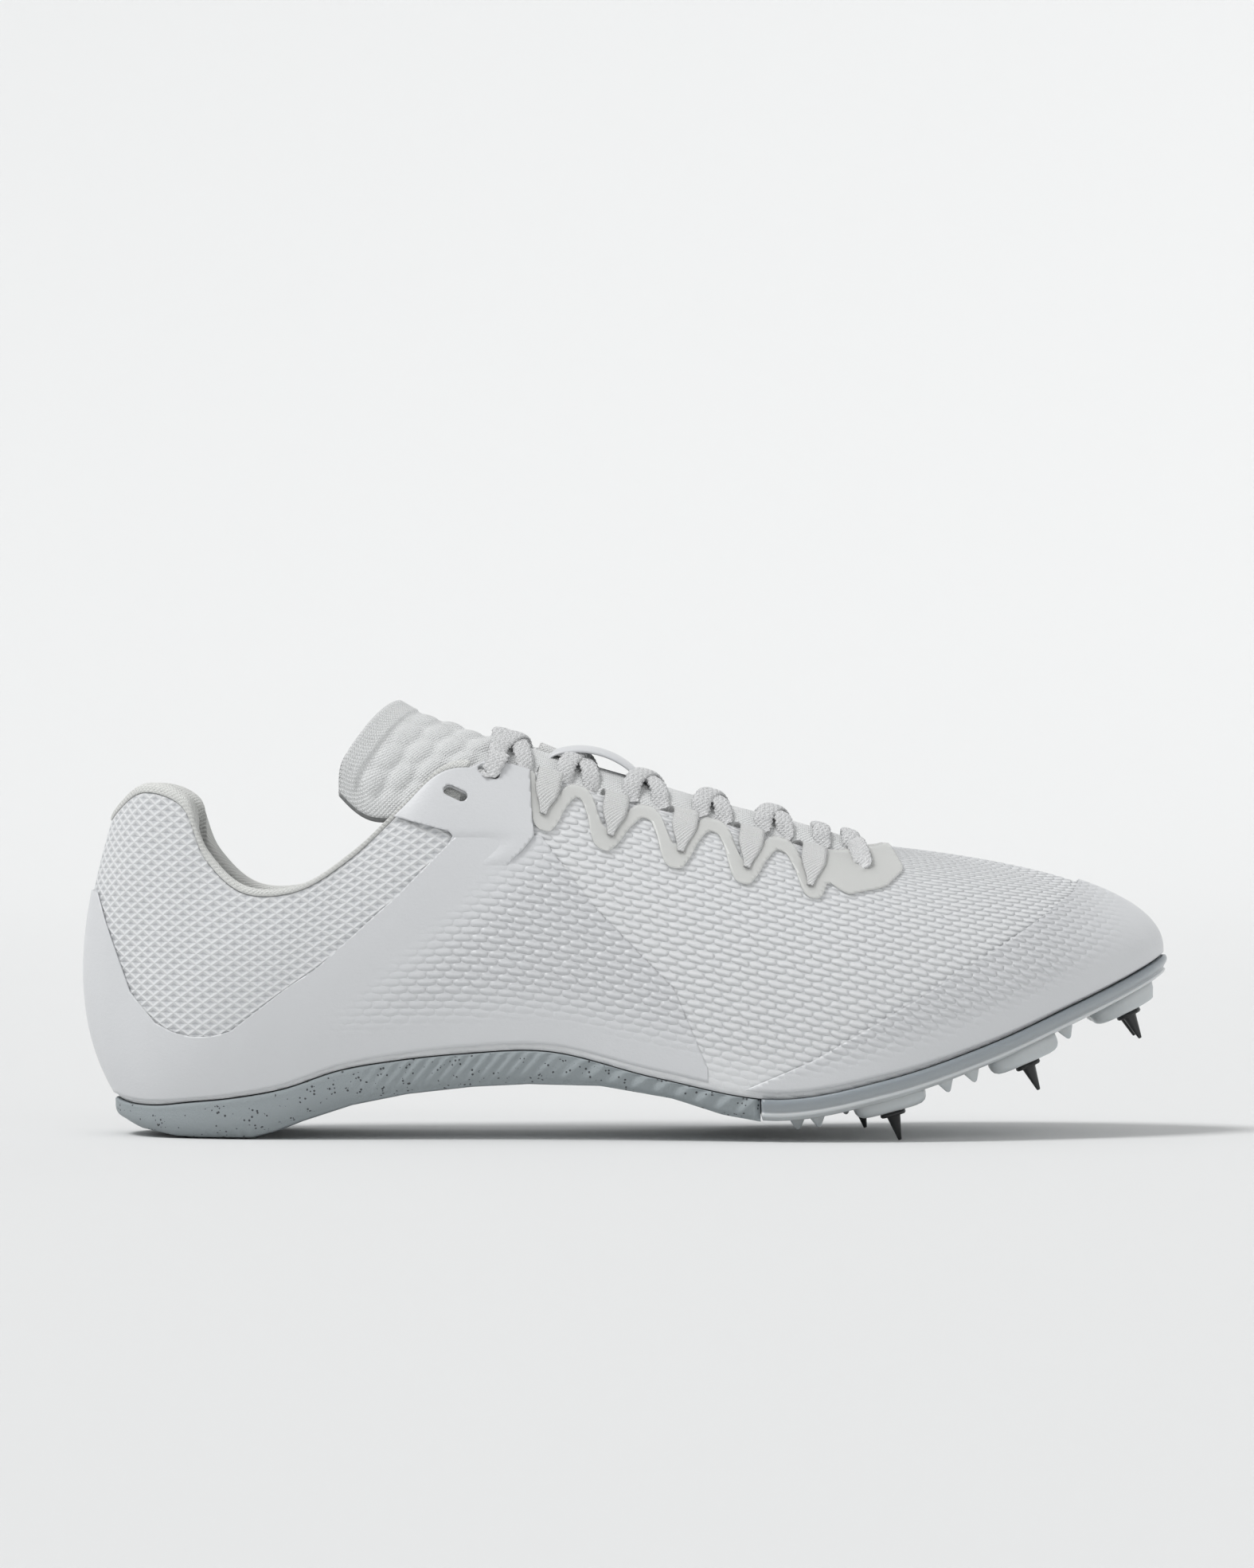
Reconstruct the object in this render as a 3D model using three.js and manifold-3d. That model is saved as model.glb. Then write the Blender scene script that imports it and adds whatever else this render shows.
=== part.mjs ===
// Track spike shoe, right foot. Millimetres, +X to the toe, -Y to the outer (lateral) side, +Z up.
import * as THREE from "three";
import Module from "manifold-3d";

const wasm = await Module();
wasm.setup();

// Driving sizes of the last
const LENGTH = 282;
const BALL_WIDTH = 92;
const HEEL_HEIGHT = 91.5;

// Walls and clearances
const WALL = 1.6;
const GAP = 0.3;
const FILM = 0.4;
const WEBBING = 0.8;

// Sole
const SEAT_DISH = 1.6;
const INSOLE_THICKNESS = 3;
const JOINT_AT = 34;
const HEEL_LIP = 0.9;
const PLATE_LIP = 1.9;
const PLATE_THICKNESS = 5.6;
const FLUTE_PITCH = 5.4;
const FLUTE_DEPTH = 0.8;
const FLAT_HALF = 11;

// Spikes
const SPIKE_LENGTH = 6.4;
const SPIKE_BASE = 3.4;
const SPIKE_TIP = 0.9;
const FLANGE_DIAMETER = 6.6;
const FLANGE_THICKNESS = 1;
const STUD_DIAMETER = 4.8;
const STUD_LENGTH = 3.2;
const POD_LENGTH = 19;
const POD_WIDTH = 15;
const POD_HEIGHT = 3.6;
const TOOTH_HEIGHT = 2.8;

// Tongue, laces and eyelets
const TONGUE_THICKNESS = 3.2;
const LACE_WIDTH = 4.6;
const LACE_THICKNESS = 2;
const LOOP_WIDTH = 7;
const SLOT_LENGTH = 6.6;
const SLOT_WIDTH = 3;

const TAU = Math.PI * 2;
const along = (percent) => (percent / 100 - 0.5) * LENGTH;
const across = (percent) => (percent / 100) * BALL_WIDTH;
const upward = (percent) => (percent / 100) * HEEL_HEIGHT;

// Sections of the last from toe to heel, in percent: at, topAt of LENGTH, the widths of BALL_WIDTH and
// the heights of HEEL_HEIGHT. The bottom edge is at, lat, med, edge and the top edge topAt, topLat,
// topMed, top, where medLift raises the inner side. bulge and low place the lower swell, lean, shoulder
// and drop the upper one. roll and pad are the binding's height and the lining's depth, in tenths of WALL.
const COLUMNS = [
  "at", "lat", "med", "edge", "topAt", "topLat", "topMed", "top", "medLift",
  "bulge", "low", "lean", "shoulder", "drop", "roll", "pad",
];
const SECTIONS = [
  [98.2, 2.7, 17.4, 48.6, 73.4, 3.3, 6.0, 81.9, 0.0, 2.4, 40, 70, 0.0, 22, 0, 0],
  [95.4, 12.5, 27.2, 44.2, 72.9, 6.5, 9.8, 81.5, 0.0, 3.3, 42, 70, 0.7, 20, 0, 0],
  [90.1, 26.1, 37.5, 36.9, 71.3, 10.3, 13.6, 80.9, 0.3, 3.9, 42, 68, 1.6, 17, 0, 0],
  [82.6, 38.0, 45.1, 26.9, 68.6, 13.0, 16.0, 80.2, 0.9, 4.1, 42, 66, 2.7, 15, 0, 0],
  [73.4, 45.7, 47.3, 17.5, 63.5, 15.2, 17.6, 84.2, 1.6, 4.1, 42, 66, 3.3, 13, 0, 0],
  [63.5, 45.1, 41.3, 12.0, 57.1, 17.4, 19.2, 89.6, 2.4, 3.9, 42, 64, 3.8, 13, 0, 0],
  [52.8, 40.2, 31.0, 17.7, 50.4, 19.5, 20.8, 93.8, 3.5, 4.1, 42, 62, 4.3, 14, 0, 0],
  [42.9, 36.4, 25.5, 25.0, 44.0, 21.5, 22.3, 100.1, 5.5, 4.6, 40, 58, 5.4, 16, 0, 0],
  [35.1, 34.2, 24.5, 24.3, 37.9, 23.4, 23.9, 105.4, 6.8, 4.8, 38, 50, 6.5, 20, 22, 7],
  [28.7, 33.7, 26.6, 22.2, 33.9, 24.8, 25.0, 106.0, 5.5, 5.0, 36, 45, 6.5, 24, 24, 9],
  [23.8, 33.5, 28.8, 19.5, 30.0, 27.2, 27.0, 95.4, 2.2, 5.0, 36, 40, 6.0, 26, 25, 12],
  [18.8, 32.8, 30.2, 14.4, 25.2, 30.2, 29.3, 81.3, 0.0, 5.2, 36, 30, 5.4, 28, 20, 16],
  [14.2, 31.1, 29.7, 11.8, 20.2, 32.0, 30.7, 71.5, 0.0, 5.9, 34, 20, 5.4, 30, 14, 20],
  [10.3, 27.7, 27.0, 10.5, 15.4, 30.9, 29.8, 71.3, 0.0, 7.0, 32, 10, 6.5, 34, 14, 26],
  [7.1, 22.3, 22.1, 9.4, 11.9, 27.4, 26.7, 80.9, 0.0, 8.7, 32, 5, 6.5, 34, 16, 36],
  [4.8, 14.7, 14.8, 9.6, 9.6, 23.7, 23.3, 96.4, 0.0, 11.4, 30, 5, 6.5, 34, 18, 44],
  [3.5, 7.4, 7.6, 10.5, 5.9, 16.3, 16.3, 100.0, 0.0, 14.1, 30, 0, 7.1, 32, 18, 48],
];
const TOE = [99.4, -7.1, 7.1, 50.9, 73.6, -1.6, 1.6, 82.0, 0.0, 2.4, 44, 70.5, 0.0, 19, 0, 0];
const HEEL = [3.1, 0, 0, 10.9, 2.7, 0, 0, 91.8, 0.0, 15.8, 30, 0, 7.6, 30, 18, 48];

const named = (row) => Object.fromEntries(COLUMNS.map((name, i) => [name, row[i]]));

// One station of the last on one side: its bottom and top points and its shape values.
function station(row, side) {
  const r = named(row);
  const lateral = side < 0;
  const y = lateral ? -across(r.lat) : across(r.med);
  const topY = lateral ? -across(r.topLat) : across(r.topMed);
  const lift = lateral ? 0 : upward(r.medLift);
  return {
    ...r,
    foot: new THREE.Vector3(along(r.at), y, upward(r.edge)),
    top: new THREE.Vector3(along(r.topAt), topY, upward(r.top) + lift),
  };
}

// The stations in order round the shoe: toe, outer side, heel, inner side.
const STATIONS = [
  station(TOE, 1),
  ...SECTIONS.map((row) => station(row, -1)),
  station(HEEL, 1),
  ...SECTIONS.map((row) => station(row, 1)).reverse(),
];
const COUNT = STATIONS.length;
const HEEL_STATION = COUNT / 2;
const closedCurve = (points) => new THREE.CatmullRomCurve3(points, true, "centripetal");

const footCurve = closedCurve(STATIONS.map((s) => s.foot));
const topCurve = closedCurve(STATIONS.map((s) => s.top));

// Outward direction in plan of the bottom edge at turn t, which runs from 0 to 1 round the shoe.
const turn = (t) => ((t % 1) + 1) % 1;
function outward(t) {
  const step = 0.002;
  const d = footCurve.getPoint(turn(t + step)).sub(footCurve.getPoint(turn(t - step)));
  return new THREE.Vector3(-d.y, d.x, 0).normalize();
}

// The two inner guide curves: the lower swell stands out from the bottom edge, the upper one from the top.
const lowCurve = closedCurve(STATIONS.map((s, i) => {
  const height = s.top.z - s.foot.z;
  const point = s.foot.clone().addScaledVector(outward(i / COUNT), across(s.bulge));
  point.z += (s.low / 100) * height;
  return point;
}));
const highCurve = closedCurve(STATIONS.map((s, i) => {
  const height = s.top.z - s.foot.z;
  const point = s.top.clone().lerp(s.foot, s.lean / 100);
  point.addScaledVector(outward(i / COUNT), across(s.shoulder));
  point.z = s.top.z - (s.drop / 100) * height;
  return point;
}));
const trimCurve = closedCurve(STATIONS.map((s) => new THREE.Vector3(s.roll, s.pad, 0)));
const rollAt = (t) => (trimCurve.getPoint(turn(t)).x / 10) * WALL;
const padAt = (t) => (trimCurve.getPoint(turn(t)).y / 10) * WALL;

// The outer form of the upper: t round the shoe, v from the bottom edge (0) to the top edge (1).
function form(t, v) {
  const [a, b, c, d] = [footCurve, lowCurve, highCurve, topCurve].map((g) => g.getPoint(turn(t)));
  const u = 1 - v;
  return a.multiplyScalar(u * u * u)
    .addScaledVector(b, 3 * u * u * v)
    .addScaledVector(c, 3 * u * v * v)
    .addScaledVector(d, v * v * v);
}
function formNormal(t, v) {
  const step = 0.003;
  const dt = form(t + step, v).sub(form(t - step, v));
  const dv = form(t, v + step).sub(form(t, v - step));
  return dv.cross(dt).normalize();
}
const onForm = (t, v, depth) => form(t, v).addScaledVector(formNormal(t, v), -depth);
function ribLength(t) {
  let length = 0;
  let last = form(t, 0);
  for (let k = 1; k <= 8; k += 1) {
    const next = form(t, k / 8);
    length += next.distanceTo(last);
    last = next;
  }
  return length;
}

// Turn of a station, and of the top edge's point at x on one side.
const turnOf = (index, side) => (side < 0 ? index / COUNT : 1 - index / COUNT);
function turnAtX(curve, x, side) {
  let near = 0;
  let far = HEEL_STATION;
  for (let k = 0; k < 40; k += 1) {
    const middle = (near + far) / 2;
    if (curve.getPoint(turn(turnOf(middle, side))).x > x) near = middle;
    else far = middle;
  }
  return turnOf(near, side);
}

// A closed solid between two grids of points, front and back, whose columns may close on themselves.
function sheet(front, back, closed = false) {
  const columns = front.length;
  const rows = front[0].length;
  const positions = [front, back].flat(2).flatMap((p) => [p.x, p.y, p.z]);
  const index = [];
  const a = (i, j) => (i % columns) * rows + j;
  const b = (i, j) => columns * rows + a(i, j);
  const quad = (p, q, r, s) => index.push(p, q, r, p, r, s);
  const spans = closed ? columns : columns - 1;
  for (let i = 0; i < spans; i += 1) {
    for (let j = 0; j < rows - 1; j += 1) {
      quad(a(i, j), a(i + 1, j), a(i + 1, j + 1), a(i, j + 1));
      quad(b(i, j), b(i, j + 1), b(i + 1, j + 1), b(i + 1, j));
    }
    quad(a(i, 0), b(i, 0), b(i + 1, 0), a(i + 1, 0));
    quad(a(i, rows - 1), a(i + 1, rows - 1), b(i + 1, rows - 1), b(i, rows - 1));
  }
  for (let j = 0; j < rows - 1 && !closed; j += 1) {
    quad(a(0, j), a(0, j + 1), b(0, j + 1), b(0, j));
    quad(a(spans, j), b(spans, j), b(spans, j + 1), a(spans, j + 1));
  }
  return facingOut(positions, index);
}

// A geometry from points and triangles, turned so that its faces point out.
function facingOut(positions, index) {
  const point = (i) => new THREE.Vector3().fromArray(positions, 3 * i);
  let volume = 0;
  for (let k = 0; k < index.length; k += 3) {
    volume += point(index[k]).dot(point(index[k + 1]).cross(point(index[k + 2])));
  }
  if (volume < 0) index.reverse();
  const geometry = new THREE.BufferGeometry();
  geometry.setAttribute("position", new THREE.Float32BufferAttribute(positions, 3));
  geometry.setIndex(index);
  return geometry;
}

// Joins and cuts
function weld(geometry) {
  const position = geometry.getAttribute("position");
  const source = geometry.index ? Array.from(geometry.index.array) : [...Array(position.count).keys()];
  const seen = new Map();
  const vertices = [];
  const remap = [];
  for (let i = 0; i < position.count; i += 1) {
    const p = [position.getX(i), position.getY(i), position.getZ(i)];
    const key = p.map((value) => Math.round(value * 1e4)).join();
    if (!seen.has(key)) {
      seen.set(key, vertices.length / 3);
      vertices.push(...p);
    }
    remap.push(seen.get(key));
  }
  const triangles = [];
  for (let k = 0; k < source.length; k += 3) {
    const [p, q, r] = [remap[source[k]], remap[source[k + 1]], remap[source[k + 2]]];
    if (p !== q && q !== r && r !== p) triangles.push(p, q, r);
  }
  return { vertices, triangles };
}
function solid(geometry) {
  const { vertices, triangles } = weld(geometry);
  const mesh = new wasm.Mesh({
    numProp: 3,
    vertProperties: new Float32Array(vertices),
    triVerts: new Uint32Array(triangles),
  });
  return new wasm.Manifold(mesh);
}
function geometryOf(manifold) {
  const mesh = manifold.getMesh();
  return facingOut(Array.from(mesh.vertProperties), Array.from(mesh.triVerts));
}

const range = (count, from, to) => (
  Array.from({ length: count }, (_, i) => from + ((to - from) * i) / (count - 1))
);
const smooth = (x, from, to) => THREE.MathUtils.smoothstep(x, from, to);

// The collar runs from one eyestay top round the heel to the other.
const COLLAR_START = 9.5;
const collarEnds = [turnOf(COLLAR_START, -1), turnOf(COLLAR_START, 1)];
const inCollar = (t) => {
  const index = Math.min(turn(t), 1 - turn(t)) * COUNT;
  return smooth(index, COLLAR_START - 0.4, COLLAR_START);
};
const rimAt = (t) => 1 - (inCollar(t) * (rollAt(t) + GAP)) / ribLength(t);

// A slot's cutter: a rounded bar through the wall at a turn and height, tilted in the surface.
function slotCutter(t, v, tilt) {
  const shape = new THREE.Shape();
  const half = (SLOT_LENGTH - SLOT_WIDTH) / 2;
  shape.absarc(half, 0, SLOT_WIDTH / 2, -Math.PI / 2, Math.PI / 2);
  shape.absarc(-half, 0, SLOT_WIDTH / 2, Math.PI / 2, (3 * Math.PI) / 2);
  const depth = WALL * 4;
  const bar = new THREE.ExtrudeGeometry(shape, { depth, bevelEnabled: false, curveSegments: 3 });
  const z = formNormal(t, v);
  const x = form(t + 0.004, v).sub(form(t - 0.004, v)).normalize();
  const y = z.clone().cross(x);
  const basis = new THREE.Matrix4().makeBasis(x, y, z);
  const spot = onForm(t, v, depth / 2);
  bar.rotateZ(tilt);
  bar.applyMatrix4(basis.setPosition(spot));
  return solid(bar);
}

// Eyelet slots near the top of each eyestay, as turn (in stations), height and tilt
const SLOTS = [
  { index: 8.95, v: 0.955, tilt: 0.4 },
  { index: 9.75, v: 0.9, tilt: 0.4 },
];
const slotsOf = (side) => SLOTS.map((s) => slotCutter(turnOf(s.index, side), s.v, -side * s.tilt));

// Turns at which the upper, its collar and its overlays share their corners
const FOREFOOT_STATIONS = 3;
const halfTurns = [
  ...Array.from({ length: FOREFOOT_STATIONS * 3 }, (_, i) => i / 3),
  ...Array.from({ length: (HEEL_STATION - FOREFOOT_STATIONS) * 2 }, (_, i) => FOREFOOT_STATIONS + i / 2),
];
const TURNS = [
  ...halfTurns.map((index) => index / COUNT),
  0.5,
  ...halfTurns.slice(1).reverse().map((index) => 1 - index / COUNT),
];
const FORM_ROWS = [0, 0.12, 0.26, 0.42, 0.6, 0.8, 1];

// Upper: one hollow wall, open above and below
function upperGeometry() {
  const outer = TURNS.map((t) => FORM_ROWS.map((v) => form(t, v * rimAt(t))));
  const inner = TURNS.map((t) => FORM_ROWS.map((v) => onForm(t, v * rimAt(t), WALL)));
  return sheet(outer, inner, true);
}
const upper = geometryOf(
  [...slotsOf(-1), ...slotsOf(1)].reduce((body, cutter) => body.subtract(cutter), solid(upperGeometry())),
);

// Collar: binding rolled over the top edge, and the padded lining inside it
function collarGeometry() {
  const seat = WALL + GAP;
  const front = [];
  const back = [];
  for (const t of TURNS.filter((value) => value > collarEnds[0] - 1e-6 && value < collarEnds[1] + 1e-6)) {
    const length = ribLength(t);
    const roll = rollAt(t);
    const rim = 1 - roll / length;
    const pad = padAt(t);
    const at = (height, depth) => onForm(t, rim + height / length, depth);
    const skirt = 8 + 2.2 * pad;
    front.push([
      at(0, -0.2), at(0.6 * roll, -0.2), at(roll, 0.5 * seat), at(0.8 * roll, seat + 0.6 * pad),
      at(-0.25 * skirt, seat + pad), at(-skirt, seat + 0.5),
    ]);
    back.push([
      at(0, 0.3), at(0, 0.5 * seat), at(0, 0.8 * seat), at(0, seat), at(-0.4 * skirt, seat), at(-skirt, seat),
    ]);
  }
  return sheet(front, back);
}

// Overlays are cut from a skin that follows the upper's own form, just clear of the sole
const SKIN_START = 0.02;
function skin(lift, thickness) {
  const rows = [SKIN_START, ...FORM_ROWS.slice(1)];
  const outer = TURNS.map((t) => rows.map((v) => onForm(t, v * rimAt(t), -(lift + thickness))));
  const inner = TURNS.map((t) => rows.map((v) => onForm(t, v * rimAt(t), -lift)));
  return solid(sheet(outer, inner, true));
}
const SIDE_REACH = 80;
// A prism across one side (-1 or 1) or both (0) from an outline of x and z
function sidePrism(outline, side) {
  const shape = new THREE.Shape(outline.map(([x, z]) => new THREE.Vector2(x, z)));
  const depth = side === 0 ? 2 * SIDE_REACH : SIDE_REACH;
  const prism = new THREE.ExtrudeGeometry(shape, { depth, bevelEnabled: false });
  prism.rotateX(Math.PI / 2);
  if (side >= 0) prism.translate(0, SIDE_REACH, 0);
  return solid(prism);
}
// Outline points given as a place x and a drop below the top edge on that side
const belowEdge = (side, points) => points.map(([x, drop]) => (
  [x, topCurve.getPoint(turn(turnAtX(topCurve, x, side))).z - drop]
));
const OPEN_ABOVE = -12;
const filmSkin = skin(GAP, FILM);
const webbingSkin = skin(GAP + FILM + GAP, WEBBING);

// Toe film: ahead of a line that climbs from the sole to the crest. Shares of LENGTH and HEEL_HEIGHT.
const TOE_LINE = [[61, 14], [67, 22], [77, 40], [84, 53], [91, 67], [94.5, 80]];
const toeFilm = geometryOf(filmSkin.intersect(sidePrism(
  [...TOE_LINE.map(([x, z]) => [along(x), upward(z)]), [along(108), upward(80)], [along(108), upward(14)]], 0,
)));

// Heel film: under a line that falls down the heel, rounds a low point and climbs to the eyestay
const HEEL_LINE = [[-4, 70], [2.5, 61], [8, 44], [12.5, 31.5], [15.5, 29], [19, 33], [25, 43], [31, 54], [37.4, 72]];
const heelFilm = geometryOf(filmSkin.intersect(sidePrism(
  [...HEEL_LINE.map(([x, z]) => [along(x), upward(z)]), [along(44), upward(40)], [along(49), upward(24)],
    [along(49), 0], [along(-4), 0]], 0,
)));

// Webbing loops along each eyestay, placed by x as shares of LENGTH, and the zigzag film round them
const LOOPS = [42.9, 49.0, 55.4, 61.4, 67.1];
const LOOP_DROP = 13;
const FILM_DROP = 15.5;
const FILM_NOTCH = 7;
const FILM_TOP = 1.2;
const PANEL_FRONT = along(41);
function loopGeometry(percent, side) {
  const x = along(percent);
  const half = LOOP_WIDTH / 2;
  return geometryOf(webbingSkin.intersect(sidePrism(belowEdge(side, [
    [x - half, OPEN_ABOVE], [x - half, LOOP_DROP - 3], [x - 1, LOOP_DROP], [x + 1, LOOP_DROP],
    [x + half, LOOP_DROP - 3], [x + half, OPEN_ABOVE],
  ]), side)));
}
function eyestayFilm(side) {
  const places = LOOPS.map(along);
  const half = (places[1] - places[0]) / 2;
  const start = PANEL_FRONT + GAP;
  const zigzag = places.flatMap((x, i) => [
    [i === 0 ? start : x - half, FILM_NOTCH], [x - 1.5, FILM_DROP], [x + 1.5, FILM_DROP],
  ]);
  const end = places[places.length - 1] + half;
  return geometryOf(filmSkin.intersect(sidePrism(belowEdge(side, [
    ...zigzag, [end, FILM_NOTCH], ...places.slice().reverse().map((x) => [x, FILM_TOP]),
    [start, FILM_TOP],
  ]), side)));
}
function eyeletPanel(side) {
  const front = PANEL_FRONT - GAP;
  return geometryOf(filmSkin.intersect(sidePrism(belowEdge(side, [
    [front, 1.2], [front, 17], [front - 14, 24], [front - 28, 10], [front - 26, 4.5], [front - 13, 4.5],
  ]), side)));
}

// Points on the sole's plan: inset from the bottom edge at station index, side -1 or 1.
function edgePoint(index, side, inset) {
  const t = turnOf(index, side);
  return footCurve.getPoint(turn(t)).addScaledVector(outward(t), -inset);
}
const indexAtX = (x) => turnAtX(footCurve, x, -1) * COUNT;

// A cross line from the outer to the inner side at a station. Each rim entry is an inset, a drop below the
// bottom edge and, where it leans forward, a shift in stations. Each bed entry is a share of the width
// inside the last rim entry and a drop, up to the middle.
function crossLine(index, rim, bed) {
  const side = (which) => rim.map(([inset, drop, shift = 0]) => {
    const p = edgePoint(index - shift, which, inset);
    p.z -= drop;
    return p;
  });
  const bedInset = Math.max(rim[rim.length - 1][0], 0);
  const ends = [edgePoint(index, -1, bedInset), edgePoint(index, 1, bedInset)];
  const inside = (share, drop) => {
    const p = ends[0].clone().lerp(ends[1], share);
    p.z -= drop;
    return p;
  };
  return [
    ...side(-1),
    ...bed.map(([share, drop]) => inside(share, drop)),
    ...bed.slice(0, -1).reverse().map(([share, drop]) => inside(1 - share, drop)),
    ...side(1).reverse(),
  ];
}
const widthAt = (index) => edgePoint(index, -1, 0).distanceTo(edgePoint(index, 1, 0));
const LEDGE = WALL + GAP;

// Underside of the heel and arch unit, as height shares of HEEL_HEIGHT against shares of LENGTH
const UNDERSIDE = [
  [2.6, 5.0], [5, 2.2], [8.5, 0.3], [10.5, 0], [15.8, 0], [18, 1.9], [20.5, 4.9], [25, 9.4], [30, 12.5],
  [36, 14.6], [41, 15.4], [47.5, 15.0], [54, 11.6], [58.5, 7.2], [62.2, 5.2],
];
function tableAt(table, x) {
  const last = table.length - 2;
  let k = 0;
  while (k < last && table[k + 1][0] < x) k += 1;
  const [a, b] = [table[k], table[k + 1]];
  const share = THREE.MathUtils.clamp((x - a[0]) / (b[0] - a[0]), 0, 1);
  return a[1] + (b[1] - a[1]) * share;
}
const undersideAt = (x) => upward(tableAt(UNDERSIDE, (x / LENGTH + 0.5) * 100));

// Heel and arch unit: a cup whose sides carry leaning flutes, with a flat spot under the heel
const JOINT_STATION = indexAtX(JOINT_AT);
const JOINT_HALF_GAP = GAP / 2 / edgePoint(JOINT_STATION, -1, 0).distanceTo(edgePoint(JOINT_STATION + 1, -1, 0));
const HEEL_END = HEEL_STATION - 0.06;
function outsoleGeometry() {
  const fluteEnd = along(25);
  const flutes = Math.round((JOINT_AT - fluteEnd) / FLUTE_PITCH);
  const lines = [
    { index: JOINT_STATION + JOINT_HALF_GAP, deep: 0 },
    ...Array.from({ length: 2 * flutes - 2 }, (_, i) => (
      { index: indexAtX(JOINT_AT - ((i + 1) * FLUTE_PITCH) / 2), deep: (i + 1) % 2 }
    )),
    ...range(11, indexAtX(fluteEnd), HEEL_END).map((index) => ({ index, deep: 0 })),
  ];
  const top = [];
  const bottom = [];
  for (const { index, deep } of lines) {
    const edge = edgePoint(index, -1, 0);
    const height = edge.z - GAP - undersideAt(edge.x);
    const fade = smooth(edge.x, fluteEnd, along(36)) * smooth(JOINT_AT - edge.x, 0, 12);
    const flute = FLUTE_DEPTH * deep * smooth(edge.x, fluteEnd, along(34));
    const lean = (level) => {
      const stationLength = edgePoint(index - 0.1, -1, 0).distanceTo(edge) / 0.1;
      return (0.9 * fade * level * height) / stationLength;
    };
    const drop = (level) => GAP + height * level;
    const flat = THREE.MathUtils.clamp(0.5 - FLAT_HALF / widthAt(index), 0.1, 0.4);
    top.push(crossLine(
      index,
      [[flute - HEEL_LIP, drop(0.3), lean(0.3)], [-HEEL_LIP, GAP], [LEDGE, GAP]],
      [[0.5, GAP + SEAT_DISH]],
    ));
    bottom.push(crossLine(
      index,
      [[flute - HEEL_LIP + 0.3, drop(0.6), lean(0.6)], [1.1, drop(0.86), lean(0.86)]],
      [[flat, drop(1)], [0.5, drop(1)]],
    ));
  }
  return sheet(top, bottom);
}

// Forefoot plate, before its pods
const TOE_END = 0.06;
function plateGeometry() {
  const top = [];
  const bottom = [];
  for (const index of range(16, JOINT_STATION - JOINT_HALF_GAP, TOE_END)) {
    top.push(crossLine(
      index,
      [[-PLATE_LIP, GAP + 0.9], [0.5 - PLATE_LIP, GAP], [LEDGE, GAP]],
      [[0.5, GAP + SEAT_DISH]],
    ));
    bottom.push(crossLine(
      index,
      [[0.9 - PLATE_LIP, 0.62 * PLATE_THICKNESS], [2.2 - PLATE_LIP, 0.68 * PLATE_THICKNESS],
        [3.2 - PLATE_LIP, PLATE_THICKNESS]],
      [[0.5, PLATE_THICKNESS]],
    ));
  }
  return sheet(top, bottom);
}

// Spike seats, in percent of LENGTH and BALL_WIDTH. The rear pair stands on the floor.
const SEATS = [
  { name: "lateral_rear", at: 73.7, out: -34, stands: true },
  { name: "lateral_middle", at: 85.9, out: -25, stands: false },
  { name: "lateral_front", at: 95.6, out: -3, stands: false },
  { name: "medial_rear", at: 71.4, out: 27, stands: true },
  { name: "medial_middle", at: 86.8, out: 31, stands: false },
  { name: "medial_front", at: 95.6, out: 16.5, stands: false },
];
function plateSlope(x) {
  const step = 6;
  const [a, b] = [x - step, x + step].map((value) => edgePoint(indexAtX(value), -1, 0));
  return Math.atan2(b.z - a.z, b.x - a.x);
}
// Where a pod's face and its spike go: the axis leans forward with the plate.
function seatFrame(seat) {
  const x = along(seat.at);
  const slope = plateSlope(x);
  const under = edgePoint(indexAtX(x), -1, 0).z - PLATE_THICKNESS;
  const axis = new THREE.Vector3(Math.sin(slope), 0, -Math.cos(slope));
  const face = new THREE.Vector3(x, across(seat.out), under).addScaledVector(axis, POD_HEIGHT);
  if (seat.stands) {
    const reach = GAP + FLANGE_THICKNESS + SPIKE_LENGTH;
    const rise = (SPIKE_TIP / 2) * Math.sin(slope);
    face.z = reach * Math.cos(slope) + rise;
  }
  return { face, slope };
}
function placed(geometry, { face, slope }) {
  geometry.rotateY(-slope);
  geometry.translate(face.x, face.y, face.z);
  return geometry;
}

// A pod: a rounded block whose lower face carries the flange, reaching up into the plate
function podSolid(seat) {
  const radius = POD_WIDTH * 0.42;
  const [hx, hy] = [POD_LENGTH / 2 - radius, POD_WIDTH / 2 - radius];
  const shape = new THREE.Shape();
  shape.absarc(hx, hy, radius, 0, Math.PI / 2);
  shape.absarc(-hx, hy, radius, Math.PI / 2, Math.PI);
  shape.absarc(-hx, -hy, radius, Math.PI, 1.5 * Math.PI);
  shape.absarc(hx, -hy, radius, 1.5 * Math.PI, TAU);
  const bevel = 1.2;
  const block = new THREE.ExtrudeGeometry(shape, {
    depth: POD_HEIGHT, bevelThickness: bevel, bevelSize: bevel, bevelOffset: -bevel,
    bevelSegments: 1, curveSegments: 2,
  });
  block.translate(0, 0, bevel);
  return solid(placed(block, seatFrame(seat)));
}
const HOLE_CLEARANCE = 0.3;
function studHole(seat) {
  const depth = STUD_LENGTH + GAP;
  const radius = STUD_DIAMETER / 2 + HOLE_CLEARANCE;
  const hole = new THREE.CylinderGeometry(radius, radius, depth + 1, 8);
  hole.rotateX(Math.PI / 2);
  hole.translate(0, 0, (depth + 1) / 2 - 1);
  return solid(placed(hole, seatFrame(seat)));
}

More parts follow.
